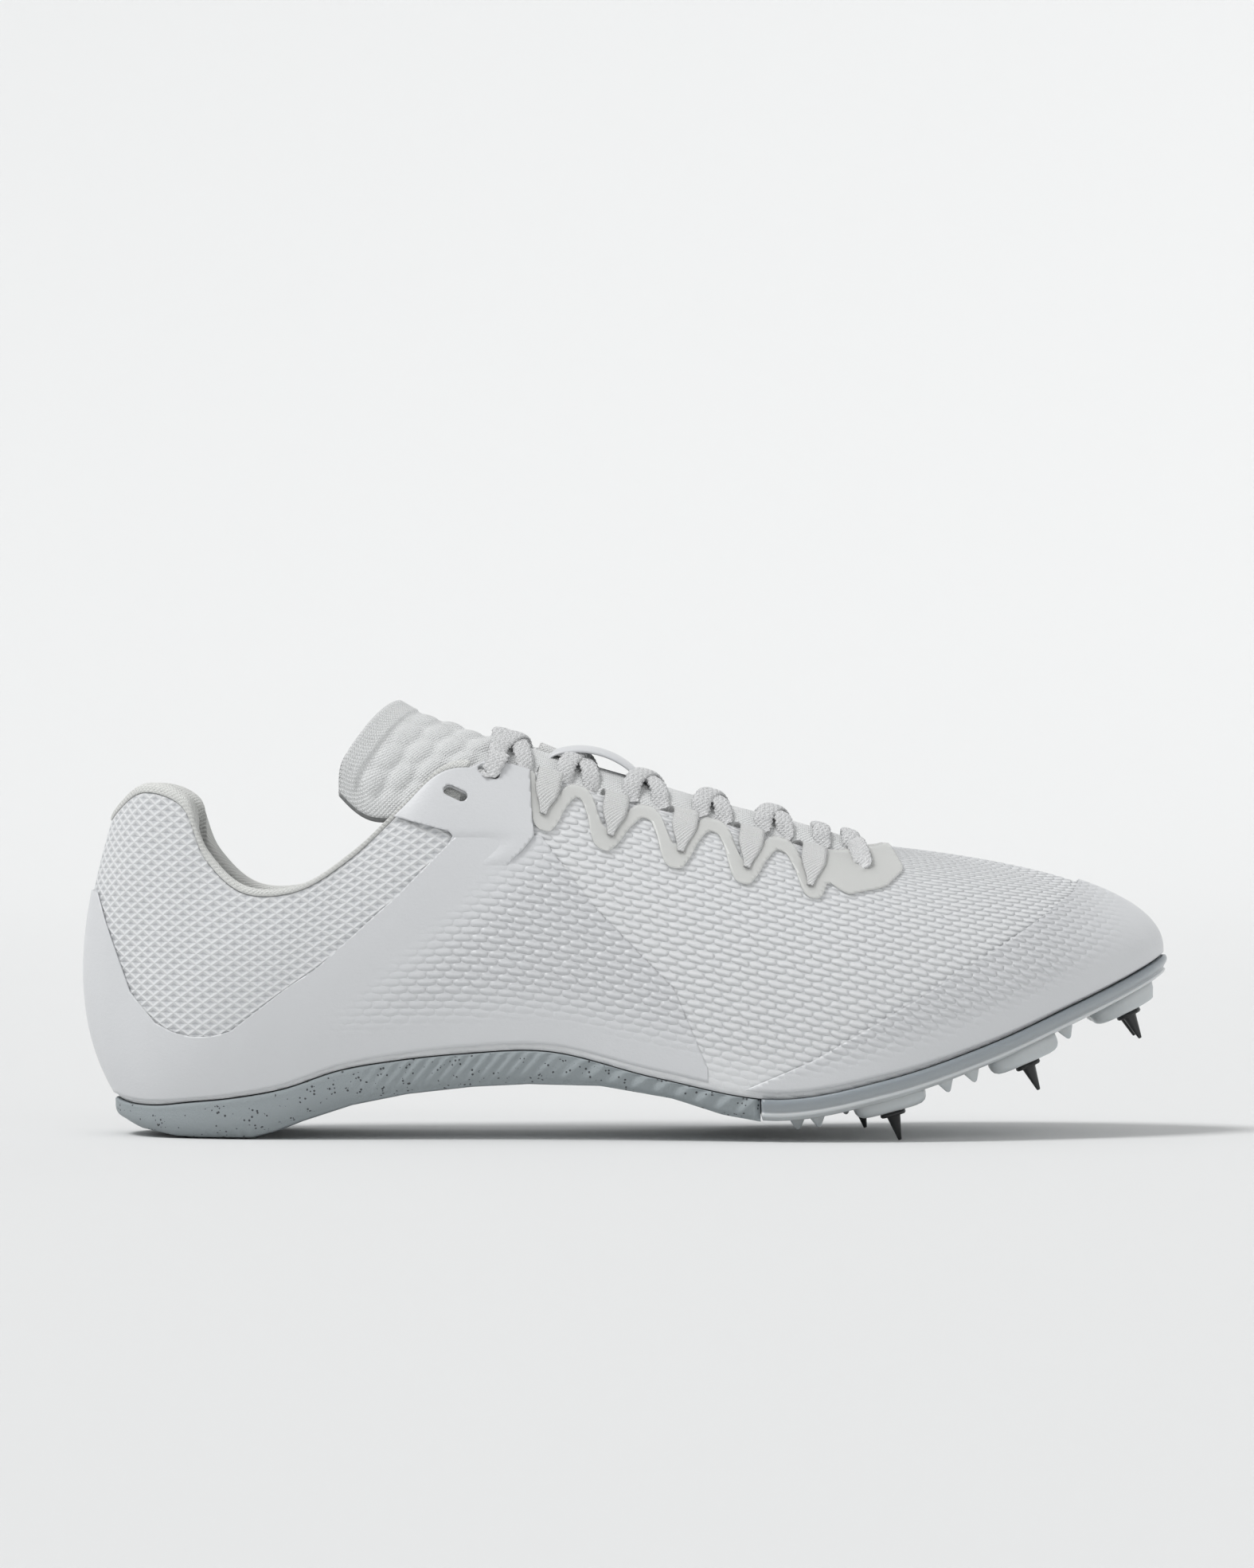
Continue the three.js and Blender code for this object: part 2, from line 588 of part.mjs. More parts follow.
// Small teeth between the pods, in percent of LENGTH and BALL_WIDTH
const TEETH = [
  { at: 65.4, out: -36 }, { at: 67.2, out: -38 }, { at: 78.8, out: -36 }, { at: 81.2, out: -34 },
  { at: 90.0, out: -20 }, { at: 65.4, out: 34 }, { at: 78.8, out: 38 }, { at: 91.5, out: 31 },
  { at: 70, out: -6 }, { at: 77, out: 6 }, { at: 84, out: 6 },
];
function toothSolid(tooth) {
  const x = along(tooth.at);
  const cone = new THREE.ConeGeometry(2.4, TOOTH_HEIGHT + 1.5, 4);
  cone.rotateX(-Math.PI / 2);
  cone.translate(0, 0, -TOOTH_HEIGHT / 2 + 0.75);
  const face = new THREE.Vector3(x, across(tooth.out), edgePoint(indexAtX(x), -1, 0).z - PLATE_THICKNESS);
  return solid(placed(cone, { face, slope: plateSlope(x) }));
}
// Pods end inside the plate's outline.
const POD_INSET = 0.6;
function outlinePrism() {
  const points = TURNS.map((t) => footCurve.getPoint(turn(t)).addScaledVector(outward(t), -POD_INSET));
  const shape = new THREE.Shape(points.map((point) => new THREE.Vector2(point.x, point.y)));
  return solid(new THREE.ExtrudeGeometry(shape, { depth: HEEL_HEIGHT, bevelEnabled: false }));
}
function spikePlate() {
  const outline = outlinePrism();
  let body = solid(plateGeometry());
  for (const seat of SEATS) body = body.add(podSolid(seat).intersect(outline));
  for (const tooth of TEETH) body = body.add(toothSolid(tooth));
  for (const seat of SEATS) body = body.subtract(studHole(seat));
  return geometryOf(body);
}
function spikeGeometry(seat) {
  const profile = [
    [0, STUD_LENGTH - GAP], [STUD_DIAMETER / 2, STUD_LENGTH - GAP], [STUD_DIAMETER / 2, -GAP],
    [FLANGE_DIAMETER / 2, -GAP], [FLANGE_DIAMETER / 2 - 0.3, -GAP - FLANGE_THICKNESS],
    [SPIKE_BASE / 2, -GAP - FLANGE_THICKNESS],
    [SPIKE_TIP / 2, -GAP - FLANGE_THICKNESS - SPIKE_LENGTH],
    [0, -GAP - FLANGE_THICKNESS - SPIKE_LENGTH],
  ];
  const lathe = new THREE.LatheGeometry(profile.map(([r, h]) => new THREE.Vector2(r, h)), 8);
  lathe.rotateX(Math.PI / 2);
  return geometryOf(solid(placed(lathe, seatFrame(seat))));
}

// Insole: a dished sheet on the sole's seat, clear of the wall
function insoleGeometry() {
  const inset = WALL + 3 * GAP;
  const raise = GAP + 0.15;
  const bottom = [];
  const top = [];
  for (const index of range(34, 0.3, HEEL_STATION - 0.3)) {
    bottom.push(crossLine(index, [[inset, GAP - raise]], [[0.5, GAP + SEAT_DISH - raise]]));
    top.push(crossLine(
      index, [[inset, -0.6 * INSOLE_THICKNESS]], [[0.5, GAP + SEAT_DISH - raise - INSOLE_THICKNESS]],
    ));
  }
  return sheet(top, bottom);
}

// Tongue sections from front to free end, in percent: crest at and height, middle and half width of
// BALL_WIDTH, arch depth of HEEL_HEIGHT, and how far the edges sweep back, of LENGTH.
const TONGUE = [
  { at: 75.8, height: 76.4, middle: 1.6, half: 13.5, depth: 9, sweep: 0 },
  { at: 71.3, height: 82.9, middle: 1.6, half: 15.8, depth: 15, sweep: 0 },
  { at: 65.6, height: 88.4, middle: 1.3, half: 18.6, depth: 18, sweep: 0 },
  { at: 58.2, height: 94.2, middle: 1.1, half: 20.8, depth: 20.5, sweep: 0 },
  { at: 50.9, height: 100.8, middle: 0.8, half: 22.8, depth: 23, sweep: 0 },
  { at: 43.6, height: 107.2, middle: 0.4, half: 24.6, depth: 26, sweep: 0.6 },
  { at: 36.2, height: 113.8, middle: 0.2, half: 25.0, depth: 30, sweep: 2.0 },
  { at: 31.2, height: 119.4, middle: 0, half: 24.6, depth: 40, sweep: 4.4 },
  { at: 29.2, height: 122.6, middle: 0, half: 24.4, depth: 31, sweep: 6.2 },
];
const TONGUE_SPREAD = 1.3;
const tongueCurves = ["at", "height", "middle", "half", "depth", "sweep"].map((key) => (
  new THREE.SplineCurve(TONGUE.map((row, i) => new THREE.Vector2(i, row[key])))
));
// The tongue's upper face: s from front (0) to free end (1), angle across it.
function tongueForm(s, angle) {
  const [at, height, middle, half, depth, sweep] = tongueCurves.map((c) => c.getPoint(s).y);
  const side = Math.abs(angle) / TONGUE_SPREAD;
  return new THREE.Vector3(
    along(at) - (sweep / 100) * LENGTH * side ** 1.2,
    across(middle) + (across(half) - WALL - GAP) * Math.sin(angle),
    upward(height) - upward(depth) * (1 - Math.cos(angle)),
  );
}
function onTongue(s, angle, lift) {
  const step = 0.01;
  const ds = tongueForm(Math.min(1, s + step), angle).sub(tongueForm(Math.max(0, s - step), angle));
  const da = tongueForm(s, angle + step).sub(tongueForm(s, angle - step));
  return tongueForm(s, angle).addScaledVector(da.cross(ds).normalize(), lift);
}
function tongueGeometry() {
  const top = [];
  const bottom = [];
  for (const s of range(14, 0, 1)) {
    const thickness = TONGUE_THICKNESS * (0.5 + 0.5 * smooth(s, 0, 0.5));
    const angles = range(10, -TONGUE_SPREAD, TONGUE_SPREAD);
    top.push(angles.map((angle) => onTongue(s, angle, 0)));
    bottom.push(angles.map((angle) => onTongue(s, angle, -thickness)));
  }
  return sheet(top, bottom);
}

// Lace bars across the throat: the place of each end on the top edge, as a share of LENGTH
const LACES = [
  { name: "top", outer: 37.4, inner: 40.6 },
  { name: "1", outer: 42.9, inner: 49.0 },
  { name: "2", outer: 49.0, inner: 55.4 },
  { name: "3", outer: 55.4, inner: 61.4 },
  { name: "4", outer: 61.4, inner: 67.1 },
  { name: "5", outer: 69.6, inner: 70.4 },
];
const LACE_LIFT = LACE_THICKNESS / 2 + GAP;
// A lace bar's end lies over the top edge, clear of the loop there.
function laceEnd(percent, side) {
  const t = turnAtX(topCurve, along(percent), side);
  const point = onForm(t, 1, -(GAP + FILM));
  point.z += LACE_LIFT + LACE_THICKNESS / 2 + GAP;
  return { point, facing: formNormal(t, 1) };
}
function tonguePlace(x) {
  let [near, far] = [0, 1];
  for (let k = 0; k < 30; k += 1) {
    const middle = (near + far) / 2;
    if (tongueForm(middle, 0).x > x) near = middle;
    else far = middle;
  }
  return near;
}
// A flat band along a path, whose broad faces look along the facing directions.
function laceGeometry(lace) {
  const ends = [laceEnd(lace.outer, -1), laceEnd(lace.inner, 1)];
  const over = [-0.4, 0, 0.4].map((angle) => {
    const x = THREE.MathUtils.lerp(ends[0].point.x, ends[1].point.x, 0.5 + angle);
    const s = tonguePlace(x);
    const point = onTongue(s, angle, LACE_LIFT + GAP);
    return { point, facing: point.clone().sub(onTongue(s, angle, 0)).normalize() };
  });
  const knots = [ends[0], ...over, ends[1]];
  const path = new THREE.CatmullRomCurve3(knots.map((knot) => knot.point));
  const facings = new THREE.CatmullRomCurve3(knots.map((knot) => knot.facing));
  const top = [];
  const bottom = [];
  for (const u of range(8, 0, 1)) {
    const centre = path.getPoint(u);
    const facing = facings.getPoint(u).normalize();
    const sideways = path.getTangent(u).cross(facing).normalize();
    const upFacing = sideways.clone().cross(path.getTangent(u)).normalize();
    const band = (height) => [-0.5, -0.25, 0.25, 0.5].map((share) => centre.clone()
      .addScaledVector(sideways, share * LACE_WIDTH)
      .addScaledVector(upFacing, Math.abs(share) < 0.4 ? height : 0.4 * height));
    top.push(band(LACE_THICKNESS / 2));
    bottom.push(band(-LACE_THICKNESS / 2));
  }
  return sheet(top, bottom);
}

// Finishes
const finish = (color, roughness, metalness = 0) => () => (
  new THREE.MeshStandardMaterial({ color, roughness, metalness })
);
const knit = finish(0xe4e6ea, 0.9);
const film = finish(0xd3d6da, 0.45);
const padding = finish(0xdedfd8, 0.95);
const cord = finish(0xe6e7ea, 0.85);
const rubber = finish(0x96a0a6, 0.7);
const plastic = finish(0xaab4ba, 0.3);
const steel = finish(0x1e2121, 0.4, 0.6);

const shoe = new THREE.Group();
function add(name, geometry, material) {
  const mesh = new THREE.Mesh(geometry, material());
  mesh.name = name;
  shoe.add(mesh);
}

add("upper", upper, knit);
add("collar", collarGeometry(), padding);
add("tongue", tongueGeometry(), knit);
add("insole", insoleGeometry(), padding);
add("outsole_rear", outsoleGeometry(), rubber);
add("spike_plate", spikePlate(), plastic);
for (const seat of SEATS) add(`spike_${seat.name}`, spikeGeometry(seat), steel);
add("toe_film", toeFilm, film);
add("heel_film", heelFilm, film);
for (const [label, side] of [["lateral", -1], ["medial", 1]]) {
  add(`eyelet_panel_${label}`, eyeletPanel(side), film);
  add(`eyestay_film_${label}`, eyestayFilm(side), film);
  LOOPS.forEach((index, i) => add(`loop_${label}_${i + 1}`, loopGeometry(index, side), cord));
}
for (const lace of LACES) add(`lace_${lace.name}`, laceGeometry(lace), cord);

// The origin is on the floor, under the middle of the whole shoe.
const extent = new THREE.Box3().setFromObject(shoe);
const middle = extent.getCenter(new THREE.Vector3());
for (const mesh of shoe.children) mesh.geometry.translate(-middle.x, -middle.y, -extent.min.z);

export default shoe;
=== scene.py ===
import math

import bpy
import numpy as np
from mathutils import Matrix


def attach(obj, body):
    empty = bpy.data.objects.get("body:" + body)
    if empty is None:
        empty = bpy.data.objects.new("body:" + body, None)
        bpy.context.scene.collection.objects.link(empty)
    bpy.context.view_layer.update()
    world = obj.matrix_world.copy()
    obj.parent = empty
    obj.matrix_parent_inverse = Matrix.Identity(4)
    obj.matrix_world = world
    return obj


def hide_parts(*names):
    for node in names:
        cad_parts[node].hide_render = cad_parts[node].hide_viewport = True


# Track spike shoe, right foot, dressed round its solids. Tables are in millimetres, the scene in metres.
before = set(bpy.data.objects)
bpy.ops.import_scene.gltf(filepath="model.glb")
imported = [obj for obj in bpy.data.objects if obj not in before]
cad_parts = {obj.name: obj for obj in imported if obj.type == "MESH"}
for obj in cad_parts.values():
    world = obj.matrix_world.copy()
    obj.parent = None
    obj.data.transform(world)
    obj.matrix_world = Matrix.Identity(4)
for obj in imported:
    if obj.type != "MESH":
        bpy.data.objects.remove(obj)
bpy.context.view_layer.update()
print("stage: frame loaded")

last = {"length": 282.0, "ballWidth": 92.0, "heelHeight": 91.5, "wall": 1.6, "gap": 0.3, "film": 0.4}
frameShift = np.array([0.235, -0.53, 0.0])  # from the last's own middle to the frame's origin

sectionColumns = (
    "at lat med edge topAt topLat topMed top medLift bulge low lean shoulder drop roll pad".split()
)
sectionRows = np.array([
    [98.2, 2.7, 17.4, 48.6, 73.4, 3.3, 6.0, 81.9, 0.0, 2.4, 40, 70, 0.0, 22, 0, 0],
    [95.4, 12.5, 27.2, 44.2, 72.9, 6.5, 9.8, 81.5, 0.0, 3.3, 42, 70, 0.7, 20, 0, 0],
    [90.1, 26.1, 37.5, 36.9, 71.3, 10.3, 13.6, 80.9, 0.3, 3.9, 42, 68, 1.6, 17, 0, 0],
    [82.6, 38.0, 45.1, 26.9, 68.6, 13.0, 16.0, 80.2, 0.9, 4.1, 42, 66, 2.7, 15, 0, 0],
    [73.4, 45.7, 47.3, 17.5, 63.5, 15.2, 17.6, 84.2, 1.6, 4.1, 42, 66, 3.3, 13, 0, 0],
    [63.5, 45.1, 41.3, 12.0, 57.1, 17.4, 19.2, 89.6, 2.4, 3.9, 42, 64, 3.8, 13, 0, 0],
    [52.8, 40.2, 31.0, 17.7, 50.4, 19.5, 20.8, 93.8, 3.5, 4.1, 42, 62, 4.3, 14, 0, 0],
    [42.9, 36.4, 25.5, 25.0, 44.0, 21.5, 22.3, 100.1, 5.5, 4.6, 40, 58, 5.4, 16, 0, 0],
    [35.1, 34.2, 24.5, 24.3, 37.9, 23.4, 23.9, 105.4, 6.8, 4.8, 38, 50, 6.5, 20, 22, 7],
    [28.7, 33.7, 26.6, 22.2, 33.9, 24.8, 25.0, 106.0, 5.5, 5.0, 36, 45, 6.5, 24, 24, 9],
    [23.8, 33.5, 28.8, 19.5, 30.0, 27.2, 27.0, 95.4, 2.2, 5.0, 36, 40, 6.0, 26, 25, 12],
    [18.8, 32.8, 30.2, 14.4, 25.2, 30.2, 29.3, 81.3, 0.0, 5.2, 36, 30, 5.4, 28, 20, 16],
    [14.2, 31.1, 29.7, 11.8, 20.2, 32.0, 30.7, 71.5, 0.0, 5.9, 34, 20, 5.4, 30, 14, 20],
    [10.3, 27.7, 27.0, 10.5, 15.4, 30.9, 29.8, 71.3, 0.0, 7.0, 32, 10, 6.5, 34, 14, 26],
    [7.1, 22.3, 22.1, 9.4, 11.9, 27.4, 26.7, 80.9, 0.0, 8.7, 32, 5, 6.5, 34, 16, 36],
    [4.8, 14.7, 14.8, 9.6, 9.6, 23.7, 23.3, 96.4, 0.0, 11.4, 30, 5, 6.5, 34, 18, 44],
    [3.5, 7.4, 7.6, 10.5, 5.9, 16.3, 16.3, 100.0, 0.0, 14.1, 30, 0, 7.1, 32, 18, 48],
])
toeRow = np.array([99.4, -7.1, 7.1, 50.9, 73.6, -1.6, 1.6, 82.0, 0.0, 2.4, 44, 70.5, 0.0, 19, 0, 0])
heelRow = np.array([3.1, 0, 0, 10.9, 2.7, 0, 0, 91.8, 0.0, 15.8, 30, 0, 7.6, 30, 18, 48])


def along(percent):
    # Percent of the last's length, from its middle towards the toe.
    return (np.asarray(percent, float) / 100 - 0.5) * last["length"]


def across(percent):
    # Percent of the ball width.
    return np.asarray(percent, float) / 100 * last["ballWidth"]


def upward(percent):
    # Percent of the heel's height, from the floor.
    return np.asarray(percent, float) / 100 * last["heelHeight"]


def smooth(x, low, high):
    # Smoothstep from 0 at low to 1 at high.
    s = np.clip((np.asarray(x, float) - low) / (high - low), 0, 1)
    return s * s * (3 - 2 * s)


def hermite(p1, p2, m1, m2, w):
    # Cubic from p1 to p2 with end tangents m1 and m2, at share w.
    return p1 + w * (m1 + w * (3 * (p2 - p1) - 2 * m1 - m2 + w * (2 * (p1 - p2) + m1 + m2)))


def weighedTangents(p0, p1, p2, p3, d0, d1, d2):
    # Tangents at p1 and p2: each weighs the chords on its two sides by their parameter lengths.
    m1 = d1 * ((p1 - p0) / d0 - (p2 - p0) / (d0 + d1) + (p2 - p1) / d1)
    m2 = d1 * ((p2 - p1) / d1 - (p3 - p1) / (d1 + d2) + (p3 - p2) / d2)
    return m1, m2


def closedCurve(points, t):
    # Centripetal Catmull-Rom through the points in a ring, at turns t: each tangent weighs its two
    # chords by the square root of their lengths, and a cubic Hermite joins each pair of points.
    count = len(points)
    p = np.mod(t, 1.0) * count
    k = np.floor(p).astype(int)
    w = (p - k)[..., None]
    p0, p1, p2, p3 = (points[(k + i) % count] for i in (-1, 0, 1, 2))
    d0, d1, d2 = (
        np.sqrt(np.linalg.norm(b - a, axis=-1, keepdims=True)) for a, b in ((p0, p1), (p1, p2), (p2, p3))
    )
    d1 = np.where(d1 < 1e-4, 1.0, d1)
    d0 = np.where(d0 < 1e-4, d1, d0)
    d2 = np.where(d2 < 1e-4, d1, d2)
    m1, m2 = weighedTangents(p0, p1, p2, p3, d0, d1, d2)
    return hermite(p1, p2, m1, m2, w)


# Stations in order round the shoe: toe, outer side, heel, inner side
order = [(toeRow, 1)] + [(r, -1) for r in sectionRows] + [(heelRow, 1)] + [(r, 1) for r in sectionRows[::-1]]
stationCount = len(order)
heelStation = stationCount // 2
s = {key: np.array([row[i] for row, side in order]) for i, key in enumerate(sectionColumns)}
sideOf = np.array([side for row, side in order])
outerSide = sideOf < 0
footPoints = np.stack([
    along(s["at"]), np.where(outerSide, -across(s["lat"]), across(s["med"])), upward(s["edge"]),
], -1)
topPoints = np.stack([
    along(s["topAt"]), np.where(outerSide, -across(s["topLat"]), across(s["topMed"])),
    upward(s["top"]) + np.where(outerSide, 0, upward(s["medLift"])),
], -1)


def outward(t):
    # Outward direction in plan: the bottom edge's own direction turned by a right angle.
    d = closedCurve(footPoints, t + 0.002) - closedCurve(footPoints, t - 0.002)
    n = np.stack([-d[..., 1], d[..., 0], 0 * d[..., 0]], -1)
    return n / np.linalg.norm(n, axis=-1, keepdims=True)


stationTurns = np.arange(stationCount) / stationCount
rise = topPoints[:, 2] - footPoints[:, 2]
lowPoints = footPoints + outward(stationTurns) * across(s["bulge"])[:, None]
lowPoints[:, 2] += s["low"] / 100 * rise
highPoints = topPoints + (footPoints - topPoints) * (s["lean"] / 100)[:, None]
highPoints = highPoints + outward(stationTurns) * across(s["shoulder"])[:, None]
highPoints[:, 2] = topPoints[:, 2] - s["drop"] / 100 * rise
trimPoints = np.stack([s["roll"], s["pad"], 0 * s["roll"]], -1)


def form(t, v):
    # The upper's outer form: at turn t, a cubic Bezier of the four guide curves, v from 0 below to 1 above.
    t, v = np.broadcast_arrays(np.asarray(t, float), np.asarray(v, float))
    a, b, c, d = (closedCurve(p, t) for p in (footPoints, lowPoints, highPoints, topPoints))
    v = v[..., None]
    u = 1 - v
    return a * u**3 + b * 3 * u * u * v + c * 3 * u * v * v + d * v**3


def unit(a):
    # Vectors divided by their length.
    return a / np.maximum(np.linalg.norm(a, axis=-1, keepdims=True), 1e-12)


def formNormal(t, v):
    # Cross product of the form's two directions, by central differences.
    dt = form(t + 0.003, v) - form(t - 0.003, v)
    dv = form(t, v + 0.003) - form(t, v - 0.003)
    return unit(np.cross(dv, dt))


def onForm(t, v, depth):
    # The form's point moved in along its normal by depth.
    return form(t, v) - formNormal(t, v) * np.asarray(depth, float)[..., None]


def ribLength(t):
    # Length of the rib at turn t, from eight chords.
    v = np.linspace(0, 1, 9)
    p = form(np.asarray(t, float)[..., None], v)
    return np.linalg.norm(np.diff(p, axis=-2), axis=-1).sum(-1)


def turnOf(index, side):
    # Turn of a station index on the outer (-1) or inner (1) side.
    return index / stationCount if side < 0 else 1 - index / stationCount


halfTurns = np.linspace(0, heelStation, 1801)


def turnAtX(points, x, side):
    # Turn at which a closed guide curve passes x on one side, read off a fine table of that side.
    t = halfTurns / stationCount if side < 0 else 1 - halfTurns / stationCount
    xs = closedCurve(points, t)[:, 0]
    return np.interp(-np.asarray(x, float), -xs, t)


def trimAt(t, k):
    # Collar table in tenths of a wall, at turn t: column 0 is the roll, 1 the pad.
    return closedCurve(trimPoints, t)[..., k] / 10 * last["wall"]


collarStart = 9.5


def rimAt(t):
    # Share of the rib at which the upper ends below the rolled binding.
    index = np.minimum(np.mod(t, 1), 1 - np.mod(t, 1)) * stationCount
    return 1 - smooth(index, collarStart - 0.4, collarStart) * (trimAt(t, 0) + last["gap"]) / ribLength(t)


def gridFaces(columns, rows, closedColumns=False, closedRows=False):
    # Quads between neighbouring columns and rows of a grid of points.
    i = np.arange(columns if closedColumns else columns - 1)[:, None]
    j = np.arange(rows if closedRows else rows - 1)[None, :]
    i2, j2 = (i + 1) % columns, (j + 1) % rows
    return np.stack([i * rows + j, i2 * rows + j, i2 * rows + j2, i * rows + j2], -1).reshape(-1, 4)


def signedVolume(points, faces):
    # Six times the enclosed volume: sum of a . (b x c) over triangle fans.
    total = 0.0
    for block in faces if isinstance(faces, list) else [faces]:
        for k in range(1, block.shape[1] - 1):
            a, b, c = points[block[:, 0]], points[block[:, k]], points[block[:, k + 1]]
            total += np.einsum("ij,ij->i", a, np.cross(b, c)).sum()
    return total


def makePiece(name, points, blocks, nodes=(), uv=None, values=None, look=None):
    # points in millimetres of the last's frame; blocks are arrays of faces with the same corner count.
    blocks = blocks if isinstance(blocks, list) else [blocks]
    points = points.reshape(-1, 3)
    if signedVolume(points, blocks) < 0:
        blocks = [b[:, ::-1] for b in blocks]
    mesh = bpy.data.meshes.new(name)
    faces = [f for b in blocks for f in b.tolist()]
    mesh.from_pydata(((points + frameShift) / 1000).tolist(), [], faces)
    mesh.polygons.foreach_set("use_smooth", np.full(len(faces), True))
    if uv is not None:
        layer = mesh.uv_layers.new(name="fabric")
        corners = np.zeros(len(mesh.loops), np.int32)
        mesh.loops.foreach_get("vertex_index", corners)
        layer.data.foreach_set("uv", uv.reshape(-1, 2)[corners].astype(np.float32).ravel())
    for key, data in (values or {}).items():
        mesh.attributes.new(key, "FLOAT", "POINT").data.foreach_set("value", data.astype(np.float32).ravel())
    mesh.validate()
    mesh.update()
    if look:
        mesh.materials.append(looks[look])
    piece = bpy.data.objects.new(name, mesh)
    bpy.context.scene.collection.objects.link(piece)
    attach(piece, "root")
    if nodes:
        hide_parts(*nodes)
    return piece


def arcAlong(points, axis):
    # Running chord length along one axis.
    step = np.linalg.norm(np.diff(points, axis=axis), axis=-1)
    zero = np.zeros_like(np.take(step, [0], axis=axis))
    return np.concatenate([zero, np.cumsum(step, axis=axis)], axis=axis)


def fullTurn(count):
    return np.linspace(0, 2 * math.pi, count, endpoint=False)


def section(angle, width, height, powerX, powerY):
    # Superellipse: sine and cosine raised to a power with their signs kept, times the half sizes.
    c, d = np.cos(angle), np.sin(angle)
    return np.sign(c) * np.abs(c) ** powerX * width / 2, np.sign(d) * np.abs(d) ** powerY * height / 2


def loft(rings):
    # Closed rings carried along a path, with a fan to the middle of each end ring. uv is arc length.
    n, m = rings.shape[:2]
    ends = rings[[0, -1]].mean(1)
    points = np.concatenate([rings.reshape(-1, 3), ends])
    walls = gridFaces(n, m, closedRows=True)
    j = np.arange(m)
    first = np.stack([j * 0 + n * m, j, (j + 1) % m], -1)
    final = np.stack([j * 0 + n * m + 1, (n - 1) * m + (j + 1) % m, (n - 1) * m + j], -1)
    length = np.broadcast_to(arcAlong(rings.mean(1), 0)[:, None], (n, m))
    around = arcAlong(rings, 1)
    uv = np.stack([length, around], -1).reshape(-1, 2)
    uv = np.concatenate([uv, uv[[0, -1]]])
    return points, [walls, first, final], uv


def ringCurve(points, perSpan):
    # Closed Catmull-Rom resampling of rings: points (n, m, 3) become (n, m * perSpan, 3).
    m = points.shape[1]
    t = np.arange(m * perSpan) / (m * perSpan)
    return np.swapaxes(closedRing(np.swapaxes(points, 0, 1), t), 0, 1)


def closedRing(points, t):
    # Uniform Catmull-Rom on a ring of point rows, tension eased so that corners stay near their points.
    count = len(points)
    p = t * count
    k = np.floor(p).astype(int)
    w = (p - k)[:, None, None]
    p0, p1, p2, p3 = (points[(k + i) % count] for i in (-1, 0, 1, 2))
    d0, d1, d2 = (
        np.sqrt(np.maximum(np.linalg.norm(b - a, axis=-1, keepdims=True), 1e-6))
        for a, b in ((p0, p1), (p1, p2), (p2, p3))
    )
    m1, m2 = weighedTangents(p0, p1, p2, p3, d0, d1, d2)
    return hermite(p1, p2, m1, m2, w)


def lineDistance(x, z, line):
    # Distance in a plane to an open line of points.
    best = np.full(x.shape, 1e9)
    for (ax, az), (bx, bz) in zip(line[:-1], line[1:]):
        ex, ez = bx - ax, bz - az
        share = np.clip(((x - ax) * ex + (z - az) * ez) / (ex * ex + ez * ez), 0, 1)
        best = np.minimum(best, np.hypot(x - ax - share * ex, z - az - share * ez))
    return best


def outlineDistance(x, z, outline):
    # Distance in a plane to a closed outline, negative inside it.
    ring = list(outline) + [outline[0]]
    inside = np.zeros(x.shape, bool)
    for (ax, az), (bx, bz) in zip(ring[:-1], ring[1:]):
        crosses = (az > z) != (bz > z)
        at = ax + (z - az) * (bx - ax) / (bz - az if abs(bz - az) > 1e-9 else 1e-9)
        inside ^= crosses & (x < at)
    best = lineDistance(x, z, ring)
    return np.where(inside, -best, best)


def clipped(data, triangles, value):
    # The part of a triangle mesh where value is below 0; new corners lie where value passes 0.
    inside = value < 0
    hits = inside[triangles].sum(1)

    def turned(rows, pick):
        start = np.argmax(pick, axis=1)[:, None]
        return np.concatenate([np.take_along_axis(rows, (start + k) % 3, 1) for k in range(3)], 1)

    one = turned(triangles[hits == 1], inside[triangles[hits == 1]])
    two = turned(triangles[hits == 2], ~inside[triangles[hits == 2]])
    pairs = np.concatenate([one[:, [0, 1]], one[:, [0, 2]], two[:, [0, 1]], two[:, [0, 2]]])
    pairs, where = np.unique(np.sort(pairs, 1), axis=0, return_inverse=True)
    where = where.reshape(-1) + len(value)
    a, b = pairs[:, 0], pairs[:, 1]
    share = (value[a] / (value[a] - value[b]))[:, None]
    data = np.concatenate([data, data[a] + share * (data[b] - data[a])])
    n, m = len(one), len(two)
    e1, e2, e3, e4 = where[:n], where[n : 2 * n], where[2 * n : 2 * n + m], where[2 * n + m :]
    faces = np.concatenate([
        triangles[hits == 3],
        np.stack([one[:, 0], e1, e2], 1),
        np.stack([e3, two[:, 1], two[:, 2]], 1),
        np.stack([e3, two[:, 2], e4], 1),
    ])
    used, faces = np.unique(faces, return_inverse=True)
    return data[used], faces.reshape(-1, 3)


def thickened(front, back, triangles):
    # A closed sheet: front faces, back faces turned round, and a rim along every open edge.
    count = len(front)
    edges = np.concatenate([triangles[:, [0, 1]], triangles[:, [1, 2]], triangles[:, [2, 0]]])
    keys = np.sort(edges, 1)
    where, number = np.unique(keys, axis=0, return_inverse=True, return_counts=True)[1:]
    rim = edges[number[where.reshape(-1)] == 1]
    quads = np.stack([rim[:, 1], rim[:, 0], rim[:, 0] + count, rim[:, 1] + count], 1)
    return np.concatenate([front, back]), [triangles, triangles[:, ::-1] + count, quads]


